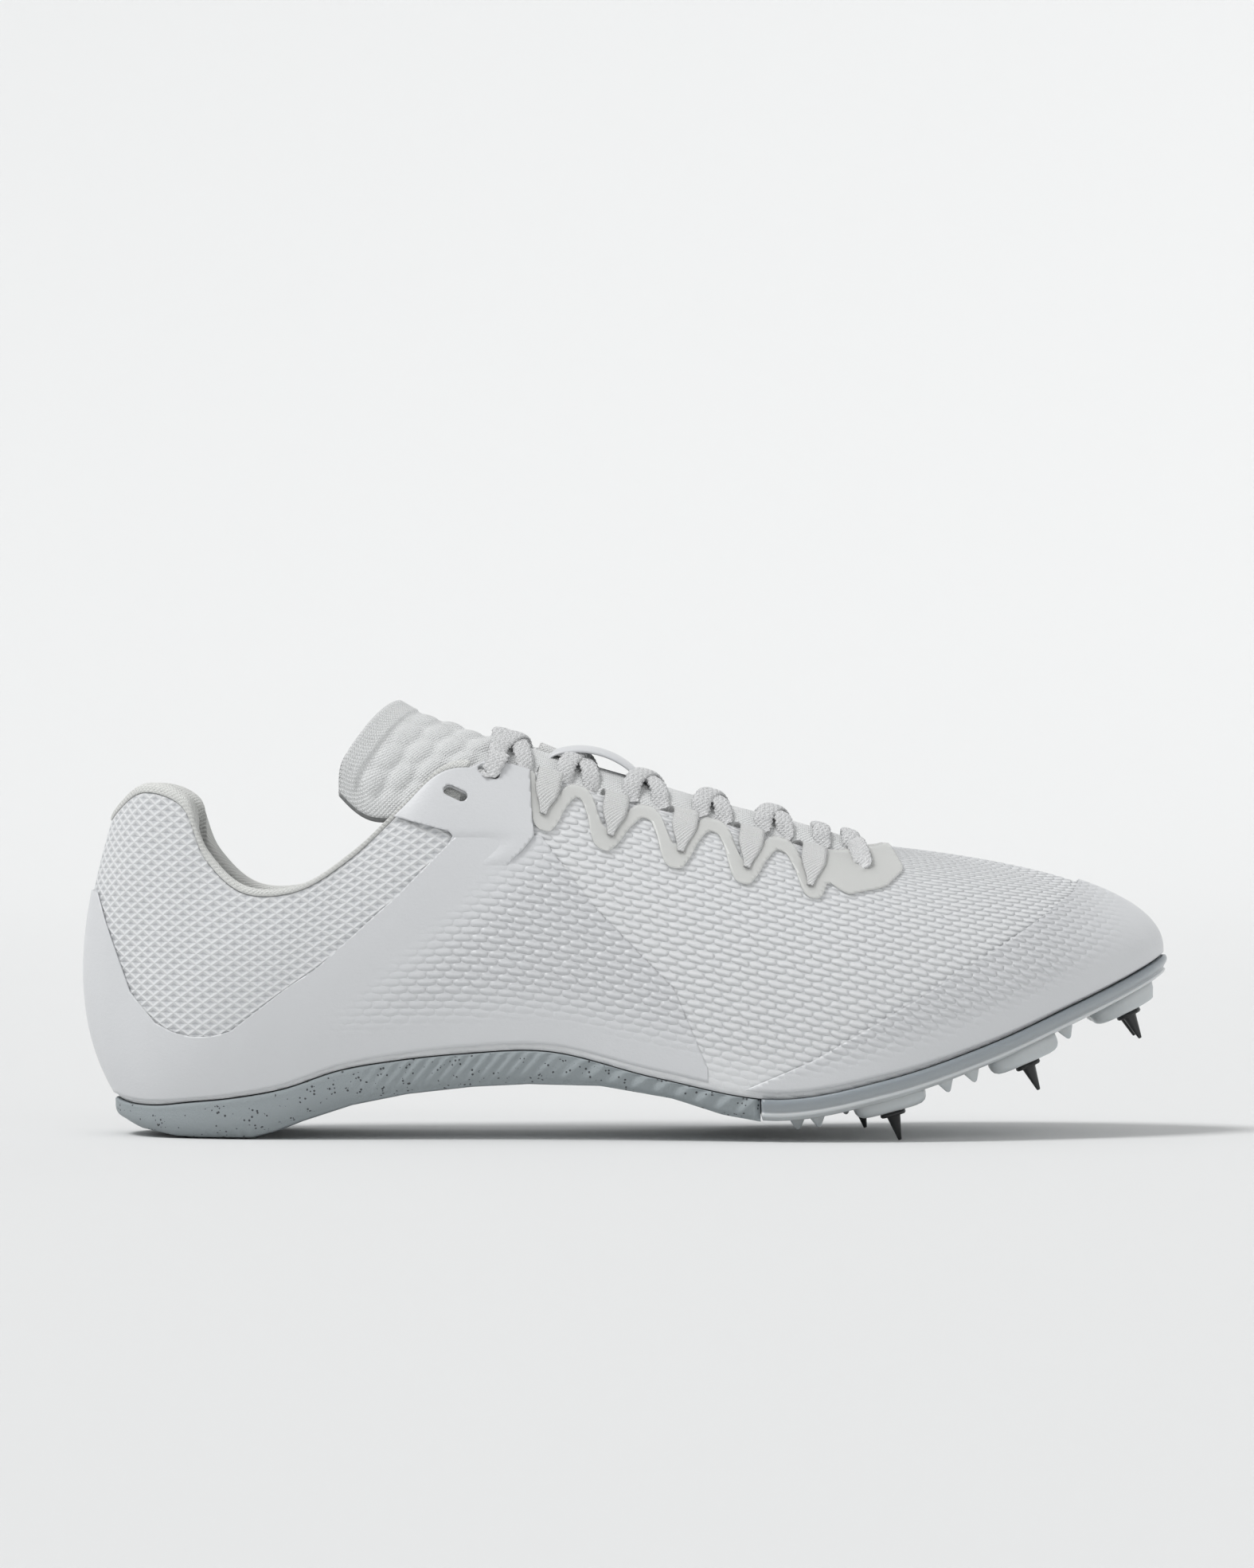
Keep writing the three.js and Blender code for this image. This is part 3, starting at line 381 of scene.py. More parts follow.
# Shader helpers
def newMaterial(name, color, roughness, coat=0.0, metallic=0.0, sheen=0.0, alpha=1.0):
    # Plain principled material; what varies over the surface is linked by the caller.
    material = bpy.data.materials.new(name)
    material.use_nodes = True
    shader = material.node_tree.nodes["Principled BSDF"]
    shader.inputs["Base Color"].default_value = (*color, 1)
    shader.inputs["Roughness"].default_value = roughness
    shader.inputs["Metallic"].default_value = metallic
    shader.inputs["Coat Weight"].default_value = coat
    shader.inputs["Coat Roughness"].default_value = 0.25
    shader.inputs["Sheen Weight"].default_value = sheen
    shader.inputs["Alpha"].default_value = alpha
    material.diffuse_color = (*color, 1)
    return material, material.node_tree, shader


def node(tree, kind, **settings):
    # New node; keywords are its settings, or else its input values.
    made = tree.nodes.new(kind)
    for key, value in settings.items():
        if key in made.bl_rna.properties:
            setattr(made, key, value)
        else:
            made.inputs[key.replace("_", " ")].default_value = value
    return made


def calc(tree, operation, a, b=None, clamp=False):
    # Math node of values or sockets.
    made = tree.nodes.new("ShaderNodeMath")
    made.operation = operation
    made.use_clamp = clamp
    for socket, value in zip(made.inputs, (a, b)):
        if value is None:
            continue
        if isinstance(value, (int, float)):
            socket.default_value = value
        else:
            tree.links.new(value, socket)
    return made.outputs[0]


def newGroup(name, inputs, outputs):
    # Shader group with named inputs (label, kind, value) and outputs (label, kind).
    group = bpy.data.node_groups.new(name, "ShaderNodeTree")
    for label, kind, value in inputs:
        socket = group.interface.new_socket(name=label, in_out="INPUT", socket_type=kind)
        if value is not None:
            socket.default_value = value
    for label, kind in outputs:
        group.interface.new_socket(name=label, in_out="OUTPUT", socket_type=kind)
    return group, group.nodes.new("NodeGroupInput"), group.nodes.new("NodeGroupOutput")


def knitGroup():
    # Staggered oval stitches: in each cell the height falls with the fourth power along the stitch and
    # the square across it. Height is the raised yarn; the second output marks the opening round it, where shade is
    # painted dark into the colour.
    group, source, sink = newGroup(
        "brick knit",
        [("Place", "NodeSocketVector", None), ("Brick", "NodeSocketFloat", 4.6), ("Row", "NodeSocketFloat", 1.9)],
        [("Height", "NodeSocketFloat"), ("GapShade", "NodeSocketFloat")],
    )
    wobble = node(group, "ShaderNodeTexNoise", Scale=0.3, Detail=1.0)
    group.links.new(source.outputs["Place"], wobble.inputs["Vector"])
    spread = group.nodes.new("ShaderNodeVectorMath")
    spread.operation = "MULTIPLY_ADD"
    group.links.new(wobble.outputs["Color"], spread.inputs[0])
    spread.inputs[1].default_value = (1.6, 0.7, 0)
    group.links.new(source.outputs["Place"], spread.inputs[2])
    split = group.nodes.new("ShaderNodeSeparateXYZ")
    group.links.new(spread.outputs[0], split.inputs[0])
    v = calc(group, "DIVIDE", split.outputs["Y"], source.outputs["Row"])
    row = calc(group, "FLOOR", v)
    shift = calc(group, "MULTIPLY", row, 0.5)
    u = calc(group, "ADD", calc(group, "DIVIDE", split.outputs["X"], source.outputs["Brick"]), shift)
    fu = calc(group, "SUBTRACT", calc(group, "FRACT", u), 0.5)
    fv = calc(group, "SUBTRACT", calc(group, "FRACT", v), 0.5)
    lengthwise = calc(group, "POWER", calc(group, "ABSOLUTE", calc(group, "MULTIPLY", fu, 2.0)), 4.0)
    crosswise = calc(group, "POWER", calc(group, "ABSOLUTE", calc(group, "MULTIPLY", fv, 2.0)), 2.0)
    raised = calc(group, "SUBTRACT", 1.0, calc(group, "ADD", lengthwise, crosswise), clamp=True)
    group.links.new(raised, sink.inputs["Height"])
    # Painted shade mask: 1 in the opening round each stitch, where the colour is darkened
    gapShade = calc(group, "MULTIPLY", calc(group, "SUBTRACT", 0.3, raised), 3.3, clamp=True)
    group.links.new(gapShade, sink.inputs["GapShade"])
    return group


def diamondGroup():
    # Crossed slanting yarns round small diamond holes: each family is a triangle wave of u and v.
    # The second output marks the holes, where shade is painted dark into the colour.
    group, source, sink = newGroup(
        "diamond mesh",
        [("Place", "NodeSocketVector", None), ("Width", "NodeSocketFloat", 4.1), ("Height", "NodeSocketFloat", 2.9)],
        [("Height", "NodeSocketFloat"), ("GapShade", "NodeSocketFloat")],
    )
    split = group.nodes.new("ShaderNodeSeparateXYZ")
    group.links.new(source.outputs["Place"], split.inputs[0])
    a = calc(group, "DIVIDE", split.outputs["X"], source.outputs["Width"])
    b = calc(group, "DIVIDE", split.outputs["Y"], source.outputs["Height"])
    one = calc(group, "PINGPONG", calc(group, "ADD", a, b), 0.5)
    two = calc(group, "PINGPONG", calc(group, "SUBTRACT", a, b), 0.5)
    near = calc(group, "MINIMUM", one, two)
    # Painted shade mask: 1 in the diamond holes, where the colour is darkened
    gap = calc(group, "MULTIPLY", calc(group, "SUBTRACT", near, 0.17), 7.0, clamp=True)
    group.links.new(gap, sink.inputs["GapShade"])
    group.links.new(calc(group, "SUBTRACT", 1.0, calc(group, "MULTIPLY", near, 2.0)), sink.inputs["Height"])
    return group


def grainGroup():
    # Fine surface grain: two sizes of noise added.
    group, source, sink = newGroup(
        "fine grain",
        [("Place", "NodeSocketVector", None), ("Scale", "NodeSocketFloat", 3.0)],
        [("Height", "NodeSocketFloat")],
    )
    noise = node(group, "ShaderNodeTexNoise", Detail=4.0, Roughness=0.65)
    group.links.new(source.outputs["Place"], noise.inputs["Vector"])
    group.links.new(source.outputs["Scale"], noise.inputs["Scale"])
    group.links.new(noise.outputs["Fac"], sink.inputs["Height"])
    return group


brickKnit, diamondMesh, fineGrain = knitGroup(), diamondGroup(), grainGroup()


def useGroup(tree, group, place, **values):
    # A group placed in a material at a place, with its own values.
    made = tree.nodes.new("ShaderNodeGroup")
    made.node_tree = group
    tree.links.new(place, made.inputs["Place"])
    for key, value in values.items():
        made.inputs[key].default_value = value
    return made


def bumpFrom(tree, shader, height, distance, strength=1.0):
    # Height in, surface normal out, onto the shader.
    bump = node(tree, "ShaderNodeBump", Distance=distance, Strength=strength)
    tree.links.new(height, bump.inputs["Height"])
    tree.links.new(bump.outputs["Normal"], shader.inputs["Normal"])
    return bump


def mixColors(tree, factor, a, b, target):
    # Colour a where the factor is 0, b where it is 1.
    mix = tree.nodes.new("ShaderNodeMix")
    mix.data_type = "RGBA"
    for socket, value in ((mix.inputs[6], a), (mix.inputs[7], b)):
        if isinstance(value, tuple):
            socket.default_value = (*value, 1)
        else:
            tree.links.new(value, socket)
    tree.links.new(factor, mix.inputs[0])
    if target is not None:
        tree.links.new(mix.outputs[2], target)
    return mix.outputs[2]


def objectMillimetres(tree):
    # Object coordinates in millimetres.
    place = tree.nodes.new("ShaderNodeTexCoord")
    scale = node(tree, "ShaderNodeMapping")
    scale.inputs["Scale"].default_value = (1000, 1000, 1000)
    tree.links.new(place.outputs["Object"], scale.inputs["Vector"])
    return scale.outputs["Vector"]


def uvPlace(tree):
    # The piece's own map along its cloth, in millimetres.
    return node(tree, "ShaderNodeUVMap", uv_map="fabric").outputs["UV"]


def attribute(tree, name):
    # A value stored at each point of the mesh.
    return node(tree, "ShaderNodeAttribute", attribute_name=name).outputs["Fac"]


# The dark grey for the knit's gaps, the mesh's holes and the films' pressed gaps is painted shade, not a yarn colour
finishes = {
    "yarn": (0.78, 0.79, 0.80), "gapShade": (0.47, 0.485, 0.51), "film": (0.67, 0.68, 0.695),
    "binding": (0.85, 0.855, 0.83), "lining": (0.66, 0.67, 0.655), "lace": (0.90, 0.905, 0.91),
    "web": (0.93, 0.935, 0.93), "rubber": (0.31, 0.345, 0.36), "speck": (0.06, 0.065, 0.07),
    "plate": (0.50, 0.53, 0.54), "plateDark": (0.25, 0.28, 0.305), "spike": (0.018, 0.019, 0.02),
    "plateBand": (0.36, 0.39, 0.41), "plateRidge": (0.60, 0.62, 0.63), "clearFilm": (0.82, 0.825, 0.805),
    "tongue": (0.85, 0.86, 0.86),
}


def knitMaterial():
    # Diamond mesh where the attribute diamond is 1, brick knit elsewhere, with shade painted dark into
    # the knit's gaps where open is 1 and into the mesh's holes.
    material, tree, shader = newMaterial("knit", finishes["yarn"], 0.82)
    place = uvPlace(tree)
    knit = useGroup(tree, brickKnit, place)
    mesh = useGroup(tree, diamondMesh, place)
    diamond, gapShadeAmount = attribute(tree, "diamond"), attribute(tree, "open")
    # Painted shade: the knit's gaps and the mesh's holes darken the yarn colour towards a dark grey
    knitGapShade = calc(tree, "MULTIPLY", knit.outputs["GapShade"], gapShadeAmount)
    meshHoleShade = calc(tree, "MULTIPLY", mesh.outputs["GapShade"], 0.55)
    gap = node(tree, "ShaderNodeMix")
    tree.links.new(diamond, gap.inputs[0])
    tree.links.new(knitGapShade, gap.inputs[2])
    tree.links.new(meshHoleShade, gap.inputs[3])
    mixColors(tree, gap.outputs[0], finishes["yarn"], finishes["gapShade"], shader.inputs["Base Color"])
    height = node(tree, "ShaderNodeMix")
    tree.links.new(diamond, height.inputs[0])
    tree.links.new(knit.outputs["Height"], height.inputs[2])
    tree.links.new(mesh.outputs["Height"], height.inputs[3])
    fibre = useGroup(tree, fineGrain, place, Scale=4.0)
    relief = calc(tree, "MULTIPLY", height.outputs[0], attribute(tree, "relief"))
    total = calc(tree, "ADD", relief, calc(tree, "MULTIPLY", fibre.outputs["Height"], 0.25))
    bumpFrom(tree, shader, total, 0.0009, 0.75)
    return material


def filmMaterial(name, color, roughness, emboss, alpha=1.0):
    # Smooth welded film through which the knit's bricks press where the attribute emboss is 1, with shade
    # painted dark into their gaps; the value emboss given here sets how dark that painted shade is.
    material, tree, shader = newMaterial(name, color, roughness, coat=0.15, alpha=alpha)
    place = uvPlace(tree)
    knit = useGroup(tree, brickKnit, place)
    pressed = calc(tree, "MULTIPLY", knit.outputs["Height"], attribute(tree, "emboss"))
    # Painted shade: the pressed bricks' gaps darken the film towards the dark grey
    shade = calc(tree, "MULTIPLY", calc(tree, "MULTIPLY", knit.outputs["GapShade"], attribute(tree, "emboss")), emboss)
    mixColors(tree, shade, color, finishes["gapShade"], shader.inputs["Base Color"])
    fibre = useGroup(tree, fineGrain, place, Scale=1.2)
    total = calc(tree, "ADD", pressed, calc(tree, "MULTIPLY", fibre.outputs["Height"], 0.12))
    bumpFrom(tree, shader, total, 0.0010, 0.65)
    return material


def clothMaterial(name, color, scale, depth, ribs=None):
    # Plain napped cloth; ribs is the pitch in mm of yarns across the piece's own length.
    material, tree, shader = newMaterial(name, color, 0.9, sheen=0.05)
    place = uvPlace(tree)
    height = useGroup(tree, fineGrain, place, Scale=scale).outputs["Height"]
    if ribs:
        split = tree.nodes.new("ShaderNodeSeparateXYZ")
        tree.links.new(place, split.inputs[0])
        a = calc(tree, "DIVIDE", split.outputs["X"], ribs)
        b = calc(tree, "DIVIDE", split.outputs["Y"], ribs)
        one = calc(tree, "PINGPONG", calc(tree, "ADD", a, b), 0.5)
        two = calc(tree, "PINGPONG", calc(tree, "SUBTRACT", a, b), 0.5)
        height = calc(tree, "ADD", height, calc(tree, "MULTIPLY", calc(tree, "MINIMUM", one, two), 2.0))
    bumpFrom(tree, shader, height, depth)
    return material


def rubberMaterial():
    # Blue-grey rubber with dark crumbs scattered through it.
    material, tree, shader = newMaterial("rubber", finishes["rubber"], 0.6)
    place = objectMillimetres(tree)
    cells = node(tree, "ShaderNodeTexVoronoi", Scale=0.9)
    tree.links.new(place, cells.inputs["Vector"])
    pick = node(tree, "ShaderNodeTexNoise", Scale=0.35, Detail=2.0)
    tree.links.new(place, pick.inputs["Vector"])
    near = calc(tree, "LESS_THAN", cells.outputs["Distance"], 0.27)
    some = calc(tree, "GREATER_THAN", pick.outputs["Fac"], 0.56)
    mixColors(tree, calc(tree, "MULTIPLY", near, some), finishes["rubber"], finishes["speck"],
              shader.inputs["Base Color"])
    fibre = useGroup(tree, fineGrain, place, Scale=2.0)
    bumpFrom(tree, shader, fibre.outputs["Height"], 0.0002)
    return material


def plateMaterial():
    # Clear moulded plate: darker where its wall is deep, paler on the ridge. level runs down the side.
    material, tree, shader = newMaterial("plate", finishes["plate"], 0.32, coat=0.5)
    shader.inputs["Subsurface Weight"].default_value = 0.3
    shader.inputs["Subsurface Radius"].default_value = (0.5, 0.6, 0.7)
    shader.inputs["Subsurface Scale"].default_value = 0.004
    band = tree.nodes.new("ShaderNodeValToRGB")
    stops = band.color_ramp
    stops.elements[0].position, stops.elements[0].color = 0.0, (*finishes["plateDark"], 1)
    stops.elements[1].position, stops.elements[1].color = 1.0, (*finishes["plate"], 1)
    middle = stops.elements.new(0.55)
    middle.color = (*finishes["plateBand"], 1)
    ridge = stops.elements.new(0.66)
    ridge.color = (*finishes["plateRidge"], 1)
    tree.links.new(attribute(tree, "level"), band.inputs[0])
    tree.links.new(band.outputs[0], shader.inputs["Base Color"])
    grain = useGroup(tree, fineGrain, objectMillimetres(tree), Scale=0.5)
    bumpFrom(tree, shader, grain.outputs["Height"], 0.0003, 0.4)
    return material


def spikeMaterial():
    # Dark steel with a little coat and fine grain.
    material, tree, shader = newMaterial("spike steel", finishes["spike"], 0.35, metallic=0.3, coat=0.3)
    grain = useGroup(tree, fineGrain, objectMillimetres(tree), Scale=2.5)
    bumpFrom(tree, shader, grain.outputs["Height"], 0.0001, 0.5)
    return material


looks = {
    "knit": knitMaterial(),
    # The fourth value of each film sets how dark the painted shade in its pressed gaps is
    "film": filmMaterial("film", finishes["film"], 0.38, 0.12),
    "vFilm": filmMaterial("clear film", finishes["clearFilm"], 0.25, 0.2, alpha=0.55),
    "tongue": clothMaterial("tongue cloth", finishes["tongue"], 3.0, 0.0003, ribs=1.1),
    "binding": clothMaterial("binding", finishes["binding"], 3.0, 0.0003, ribs=1.1),
    "lining": clothMaterial("lining", finishes["lining"], 3.0, 0.0003),
    "lace": clothMaterial("lace braid", finishes["lace"], 3.5, 0.0005, ribs=1.3),
    "web": clothMaterial("webbing", finishes["web"], 4.0, 0.0004, ribs=0.9),
    "rubber": rubberMaterial(), "plate": plateMaterial(), "spike": spikeMaterial(),
}
print("stage: materials made")

# Upper
upperSettings = {"columns": 540, "rows": 72, "rimRound": 0.5}
diamondZone = [
    (-160, 130), (-66, 130), (-66, 84), (-58, 82.2), (-45, 78.8), (-43.4, 76.5), (-58, 61.5), (-79, 43),
    (-87, 38), (-101, 27), (-111, 25.4), (-121, 29), (-128, 37), (-160, 37),
]


def fabricPlace(points):
    # u runs along each row in plan from its crossing of the last's middle, v up each rib from the floor.
    flat = points * np.array([1, 1, 0])
    arc = arcAlong(flat, 0)
    half = points.shape[0] // 2
    u = np.empty(arc.shape)
    for part in (slice(0, half + 1), slice(half, points.shape[0])):
        x = points[part, :, 0]
        middle = np.argmin(np.abs(x), axis=0)
        here = arc[part]
        start = np.take_along_axis(here, middle[None], 0)
        sign = np.sign(x[0] - x[-1])[None]
        u[part] = (start - here) * sign + np.take_along_axis(x, middle[None], 0)
    fore = np.maximum(u + 45, 0)
    v = points[:, :1, 2] + arcAlong(points, 1) + 0.24 * fore * fore / (fore + 40)
    return np.stack([u, v], -1)


footLine = closedCurve(footPoints, np.linspace(0, 0.5, 400))[::-1]


def aboveSole(x, z):
    # Height of a point over the bottom edge at the same x.
    return z - np.interp(x, footLine[:, 0], footLine[:, 2])


def zoneValues(points):
    x, z = points[..., 0], points[..., 2]
    low = aboveSole(x, z)
    diamond = smooth(-outlineDistance(x, z, diamondZone), -0.8, 0.8)
    # How strongly shade is painted into the knit's gaps: more towards the front, none near the sole
    gapShadeAmount = (0.08 + 0.32 * smooth(x, -25, 35)) * smooth(low, 3, 14)
    relief = 0.2 + 0.8 * np.maximum(smooth(low, 3, 15), diamond)
    return diamond, gapShadeAmount, relief


def makeUpper():
    # Outer form up, a rounded rim, and the inner wall down: one closed ring at each turn.
    turns = np.arange(upperSettings["columns"]) / upperSettings["columns"]
    rows = np.linspace(0, 1, upperSettings["rows"])
    rim = rimAt(turns)[:, None]
    t = np.broadcast_to(turns[:, None], (len(turns), len(rows)))
    outer = form(t, rows * rim)
    normal = formNormal(t, rows * rim)
    inner = outer - normal * last["wall"]
    up = unit(outer[:, -1] - outer[:, -2])
    crown = (outer[:, -1] + inner[:, -1]) / 2 + up * upperSettings["rimRound"]
    ring = np.concatenate([outer, crown[:, None], inner[:, ::-1]], 1)
    place = fabricPlace(outer)
    uv = np.concatenate([place, place[:, -1:], place[:, ::-1]], 1)
    diamond, gapShadeAmount, relief = zoneValues(outer)
    values = {
        key: np.concatenate([data, data[:, -1:], data[:, ::-1]], 1)
        for key, data in (("diamond", diamond), ("open", gapShadeAmount), ("relief", relief))
    }
    faces = gridFaces(ring.shape[0], ring.shape[1], True, True)
    return makePiece("upperShell", ring, faces, ["upper"], uv, values, "knit")


def surfaceAt(x, z, side):
    # Turn and height share of the form's point at x and z on one side, by Newton's steps on both.
    t, v = np.array(float(turnAtX(topPoints, x, side))), np.array(0.9)
    for step in range(12):
        here = form(t, v)
        dt = (form(t + 0.001, v) - here) / 0.001
        dv = (form(t, v + 0.001) - here) / 0.001
        a, b, c, d = dt[0], dv[0], dt[2], dv[2]
        ex, ez = x - here[0], z - here[2]
        det = a * d - b * c
        t, v = t + (d * ex - b * ez) / det, np.clip(v + (a * ez - c * ex) / det, 0.2, 1.0)
    return t, v


def topHeight(x, side):
    # Height of the upper's top edge at x on one side.
    t = halfTurns / stationCount if side < 0 else 1 - halfTurns / stationCount
    p = closedCurve(topPoints, t)
    rank = np.argsort(p[:, 0])
    return np.interp(x, p[rank, 0], p[rank, 2])


slotTable = [  # x, drop below the top edge, tilt, length, width
    (-35.6, 3.0, -0.45, 6.0, 2.8), (-44.0, 9.0, -0.45, 6.6, 3.0), (60.5, 4.2, 0.0, 3.8, 3.2),
]


def slotFrame(row, side):
    # Place, normal, turn and share of a lace hole's middle.
    x0, drop = row[:2]
    t, v = surfaceAt(x0, float(topHeight(x0, side)) - drop, side)
    return form(t, v), formNormal(t, v), t, v


def stadium(length, width, count=10):
    # Two half circles joined by straights.
    angle = np.linspace(-math.pi / 2, math.pi / 2, count)
    half = (length - width) / 2
    right = np.stack([half + width / 2 * np.cos(angle), width / 2 * np.sin(angle)], -1)
    return np.concatenate([right, -right])


def holeBars():
    # Bars through the wall at each lace hole, on both sides, as one mesh for cutting.
    parts, blocks, count = [], [], 0
    for side in (-1, 1):
        for row in slotTable:
            spot, z, t, v = slotFrame(row, side)
            tilt, length, width = row[2:]
            x = unit(np.cross(np.cross(z, [1.0, 0, 0]), z))
            y = np.cross(z, x) * -side
            c, d = math.cos(tilt), math.sin(tilt)
            flat = stadium(length, width) @ np.array([[c, d], [-d, c]])
            ring = spot + flat[:, :1] * x + flat[:, 1:] * y
            rings = np.stack([ring - z * 3.2, ring + z * 3.2])
            points, faces, uv = loft(rings)
            if signedVolume(points, faces) < 0:
                faces = [f[:, ::-1] for f in faces]
            parts.append(points)
            blocks += [f + count for f in faces]
            count += len(points)
    quads = np.concatenate([b for b in blocks if b.shape[1] == 4])
    tris = np.concatenate([b for b in blocks if b.shape[1] == 3])
    return np.concatenate(parts), [quads, tris]


def cutHoles(pieces):
    # Exact boolean of the bars from each piece, applied to its mesh.
    points, blocks = holeBars()
    cutter = makePiece("holeCutter", points, blocks)
    for piece in pieces:
        cut = piece.modifiers.new("holes", "BOOLEAN")
        cut.object, cut.operation, cut.solver = cutter, "DIFFERENCE", "EXACT"
        bpy.context.view_layer.update()
        result = piece.evaluated_get(bpy.context.evaluated_depsgraph_get())
        mesh = bpy.data.meshes.new_from_object(result)
        piece.modifiers.clear()
        piece.data = mesh
    bpy.data.objects.remove(cutter)


upperShell = makeUpper()
print("stage: upper made")

# Films cut from skins of the same form, and webbing loops built on it
skin = {"columns": 760, "rows": 96, "start": 0.02, "round": 0.9}
skinTurns = np.arange(skin["columns"]) / skin["columns"]
skinRows = np.concatenate([[skin["start"]], np.linspace(0, 1, skin["rows"])[3:]])
skinT = np.broadcast_to(skinTurns[:, None], (skin["columns"], len(skinRows)))
skinV = skinRows * rimAt(skinTurns)[:, None]
skinForm, skinNormal = form(skinT, skinV), formNormal(skinT, skinV)
skinPlace = fabricPlace(skinForm)
skinQuads = gridFaces(skin["columns"], len(skinRows), closedColumns=True)
skinTriangles = np.concatenate([skinQuads[:, [0, 1, 2]], skinQuads[:, [0, 2, 3]]])
skinSide = np.where(skinT < 0.5, -1, 1)


def edgeDrop(side):
    # How far each point of the skin lies below the top edge.
    return topHeight(skinForm[..., 0], side) - skinForm[..., 2]


def skinPiece(name, value, lift, thickness, nodes, look, emboss=None, taper=1.0):
    # The part of the skin where value is below 0, lifted off the form and given a thickness.
    taper = np.broadcast_to(taper, skinT.shape)[..., None]
    front = skinForm + skinNormal * (lift * taper + thickness * np.maximum(taper, 0.2))
    back = skinForm + skinNormal * lift * taper
    data = np.concatenate([front, back, skinPlace], -1).reshape(-1, 8)
    data, triangles = clipped(data, skinTriangles, value.ravel())
    points, blocks = thickened(data[:, :3], data[:, 3:6], triangles)
    uv = np.concatenate([data[:, 6:], data[:, 6:]])
    pressed = emboss(points) if emboss else np.zeros(len(points))
    return makePiece(name, points, blocks, nodes, uv, {"emboss": pressed}, look=look)


toeLine = [(61, 14), (67, 22), (77, 40), (84, 53), (91, 67), (94.5, 80), (108, 80), (108, -20), (61, -20)]
heelLine = [
    (-4, 71), (1.2, 68), (2, 60.5), (4.5, 40.5), (7, 31.7), (8.8, 29), (10.6, 27.8), (12.4, 28), (14.2, 29.5),
    (19.3, 41.6), (22.1, 47.2), (29.3, 67.2), (34.7, 84), (42, 84), (47, 64), (54, 42), (57, 20), (57, -10),
    (-4, -10),
]


def scaled(outline):
    # Outline in percents of length and heel height, turned into millimetres.
    return [(float(along(x)), float(upward(z))) for x, z in outline]


def toePress(p):
    # Share of the knit that shows through the toe film, as pressed bricks with painted shade in their gaps: none at
    # the tip and low down.
    return smooth(-p[:, 0], -134, -104) * smooth(aboveSole(p[:, 0], p[:, 2]), 4, 13)


def heelPress(p):
    # Share of the knit that shows through the heel film, as pressed bricks with painted shade in their gaps: in front
    # of a slanting line.
    return smooth(p[:, 0] - 1.08 * (p[:, 2] - 64.5), -42, -20) * smooth(aboveSole(p[:, 0], p[:, 2]), 6, 20)


filmLift, filmThick = last["gap"], last["film"]
x, z = skinForm[..., 0], skinForm[..., 2]
skinPiece("toeFilm", outlineDistance(x, z, scaled(toeLine)) - skin["round"], filmLift, filmThick + 0.2,
          ["toe_film"], "film", toePress)
skinPiece("heelFilm", outlineDistance(x, z, scaled(heelLine)) - skin["round"], filmLift, filmThick,
          ["heel_film"], "film", heelPress, 1 - 0.9 * smooth(x, -34, -4))

loopPlaces = along([42.9, 49.0, 55.4, 61.4, 67.1])
# The clear band snakes from V to V: x and drop of its middle line, then its apron at the front
snake = [
    (-25.2, 1.2), (-24.4, 5), (-21.8, 11.8), (-21.0, 11.8), (-14.9, 2.6), (-13.6, 1.6), (-11.2, 1.6), (-10.2, 2.8),
    (-6.6, 11.8), (-5.8, 11.8), (1.9, 2.8), (3.4, 1.6), (6.2, 1.6), (7.4, 2.8), (11.6, 12), (12.6, 12), (19.2, 2.8),
    (20.6, 1.6), (23.8, 1.6), (25, 2.8), (29, 11.8), (30, 11.8), (36.6, 2.8), (38, 1.6), (41, 1.6), (42.3, 2.8),
    (46.8, 10.4), (47.8, 10.4), (52, 3.4),
]
apron = [(51, 1.2), (51.5, 6), (57, 9.5), (66, 9.0), (69.5, 6.0), (67, 1.2)]
panelOutline = [
    (-26, 120), (-26, 93), (-25.2, 82), (-24.6, 77.7), (-27, 74.7), (-38, 64.5), (-47, 72), (-43.6, 77.6),
    (-45, 79.4), (-58.3, 82.9), (-66, 84), (-66, 120),
]
bands = {"half": 1.5, "apex": 0.8, "rise": 0.1, "panelRise": 0.45}


panelPieces = []
for label, side in (("lateral", -1), ("medial", 1)):
    drop = edgeDrop(side)
    lift = topHeight(x, side) - topHeight(x, -1)
    other = np.where(skinSide == side, -99.0, 99.0)
    wide = bands["half"] + bands["apex"] * smooth(drop, 6, 12)
    value = np.minimum(lineDistance(x, drop, snake) - wide, outlineDistance(x, drop, apron) - 1.5)
    piece = skinPiece("eyestayFilm_" + label, np.maximum(value, other), filmLift, filmThick + bands["rise"],
                      ["eyestay_film_" + label], "vFilm")
    panelPieces.append(piece)
    value = np.maximum(outlineDistance(x, z - lift, panelOutline) - 0.8, other)
    # The panel's low back corner and low end sink under the heel film, so that the two run together
    inward = 0.73 * (z - lift - 74.7) - 0.68 * (x + 27)
    corner = smooth(inward, 1, 9) * (1 - smooth(z - lift, 74, 79))
    sunk = 1 - 1.3 * np.maximum(corner, 1 - smooth(z - lift, 65, 73))
    piece = skinPiece("eyeletPanel_" + label, value, filmLift + bands["panelRise"], filmThick,
                      ["eyelet_panel_" + label], "film", None, sunk)
    panelPieces.append(piece)
cutHoles([upperShell] + panelPieces)
print("stage: films made")

loopShape = {"drop": 10.2, "half": 3.3, "foot": 0.9, "thick": 0.5, "arch": 2.8, "sweep": 2.9, "footShift": -1.6}


def topFrame(x, side):
    # Edge point, outward normal, upward and forward directions of the top edge at x on one side.
    t = float(turnAtX(topPoints, x, side))
    edge, normal = form(t, 1.0), formNormal(np.array(t), np.array(1.0))
    up = unit(form(t, 1.0) - form(t, 0.97))
    forward = unit(form(t + 0.003, 1.0) - form(t - 0.003, 1.0))
    return edge, normal, up, forward * np.sign(forward[0])


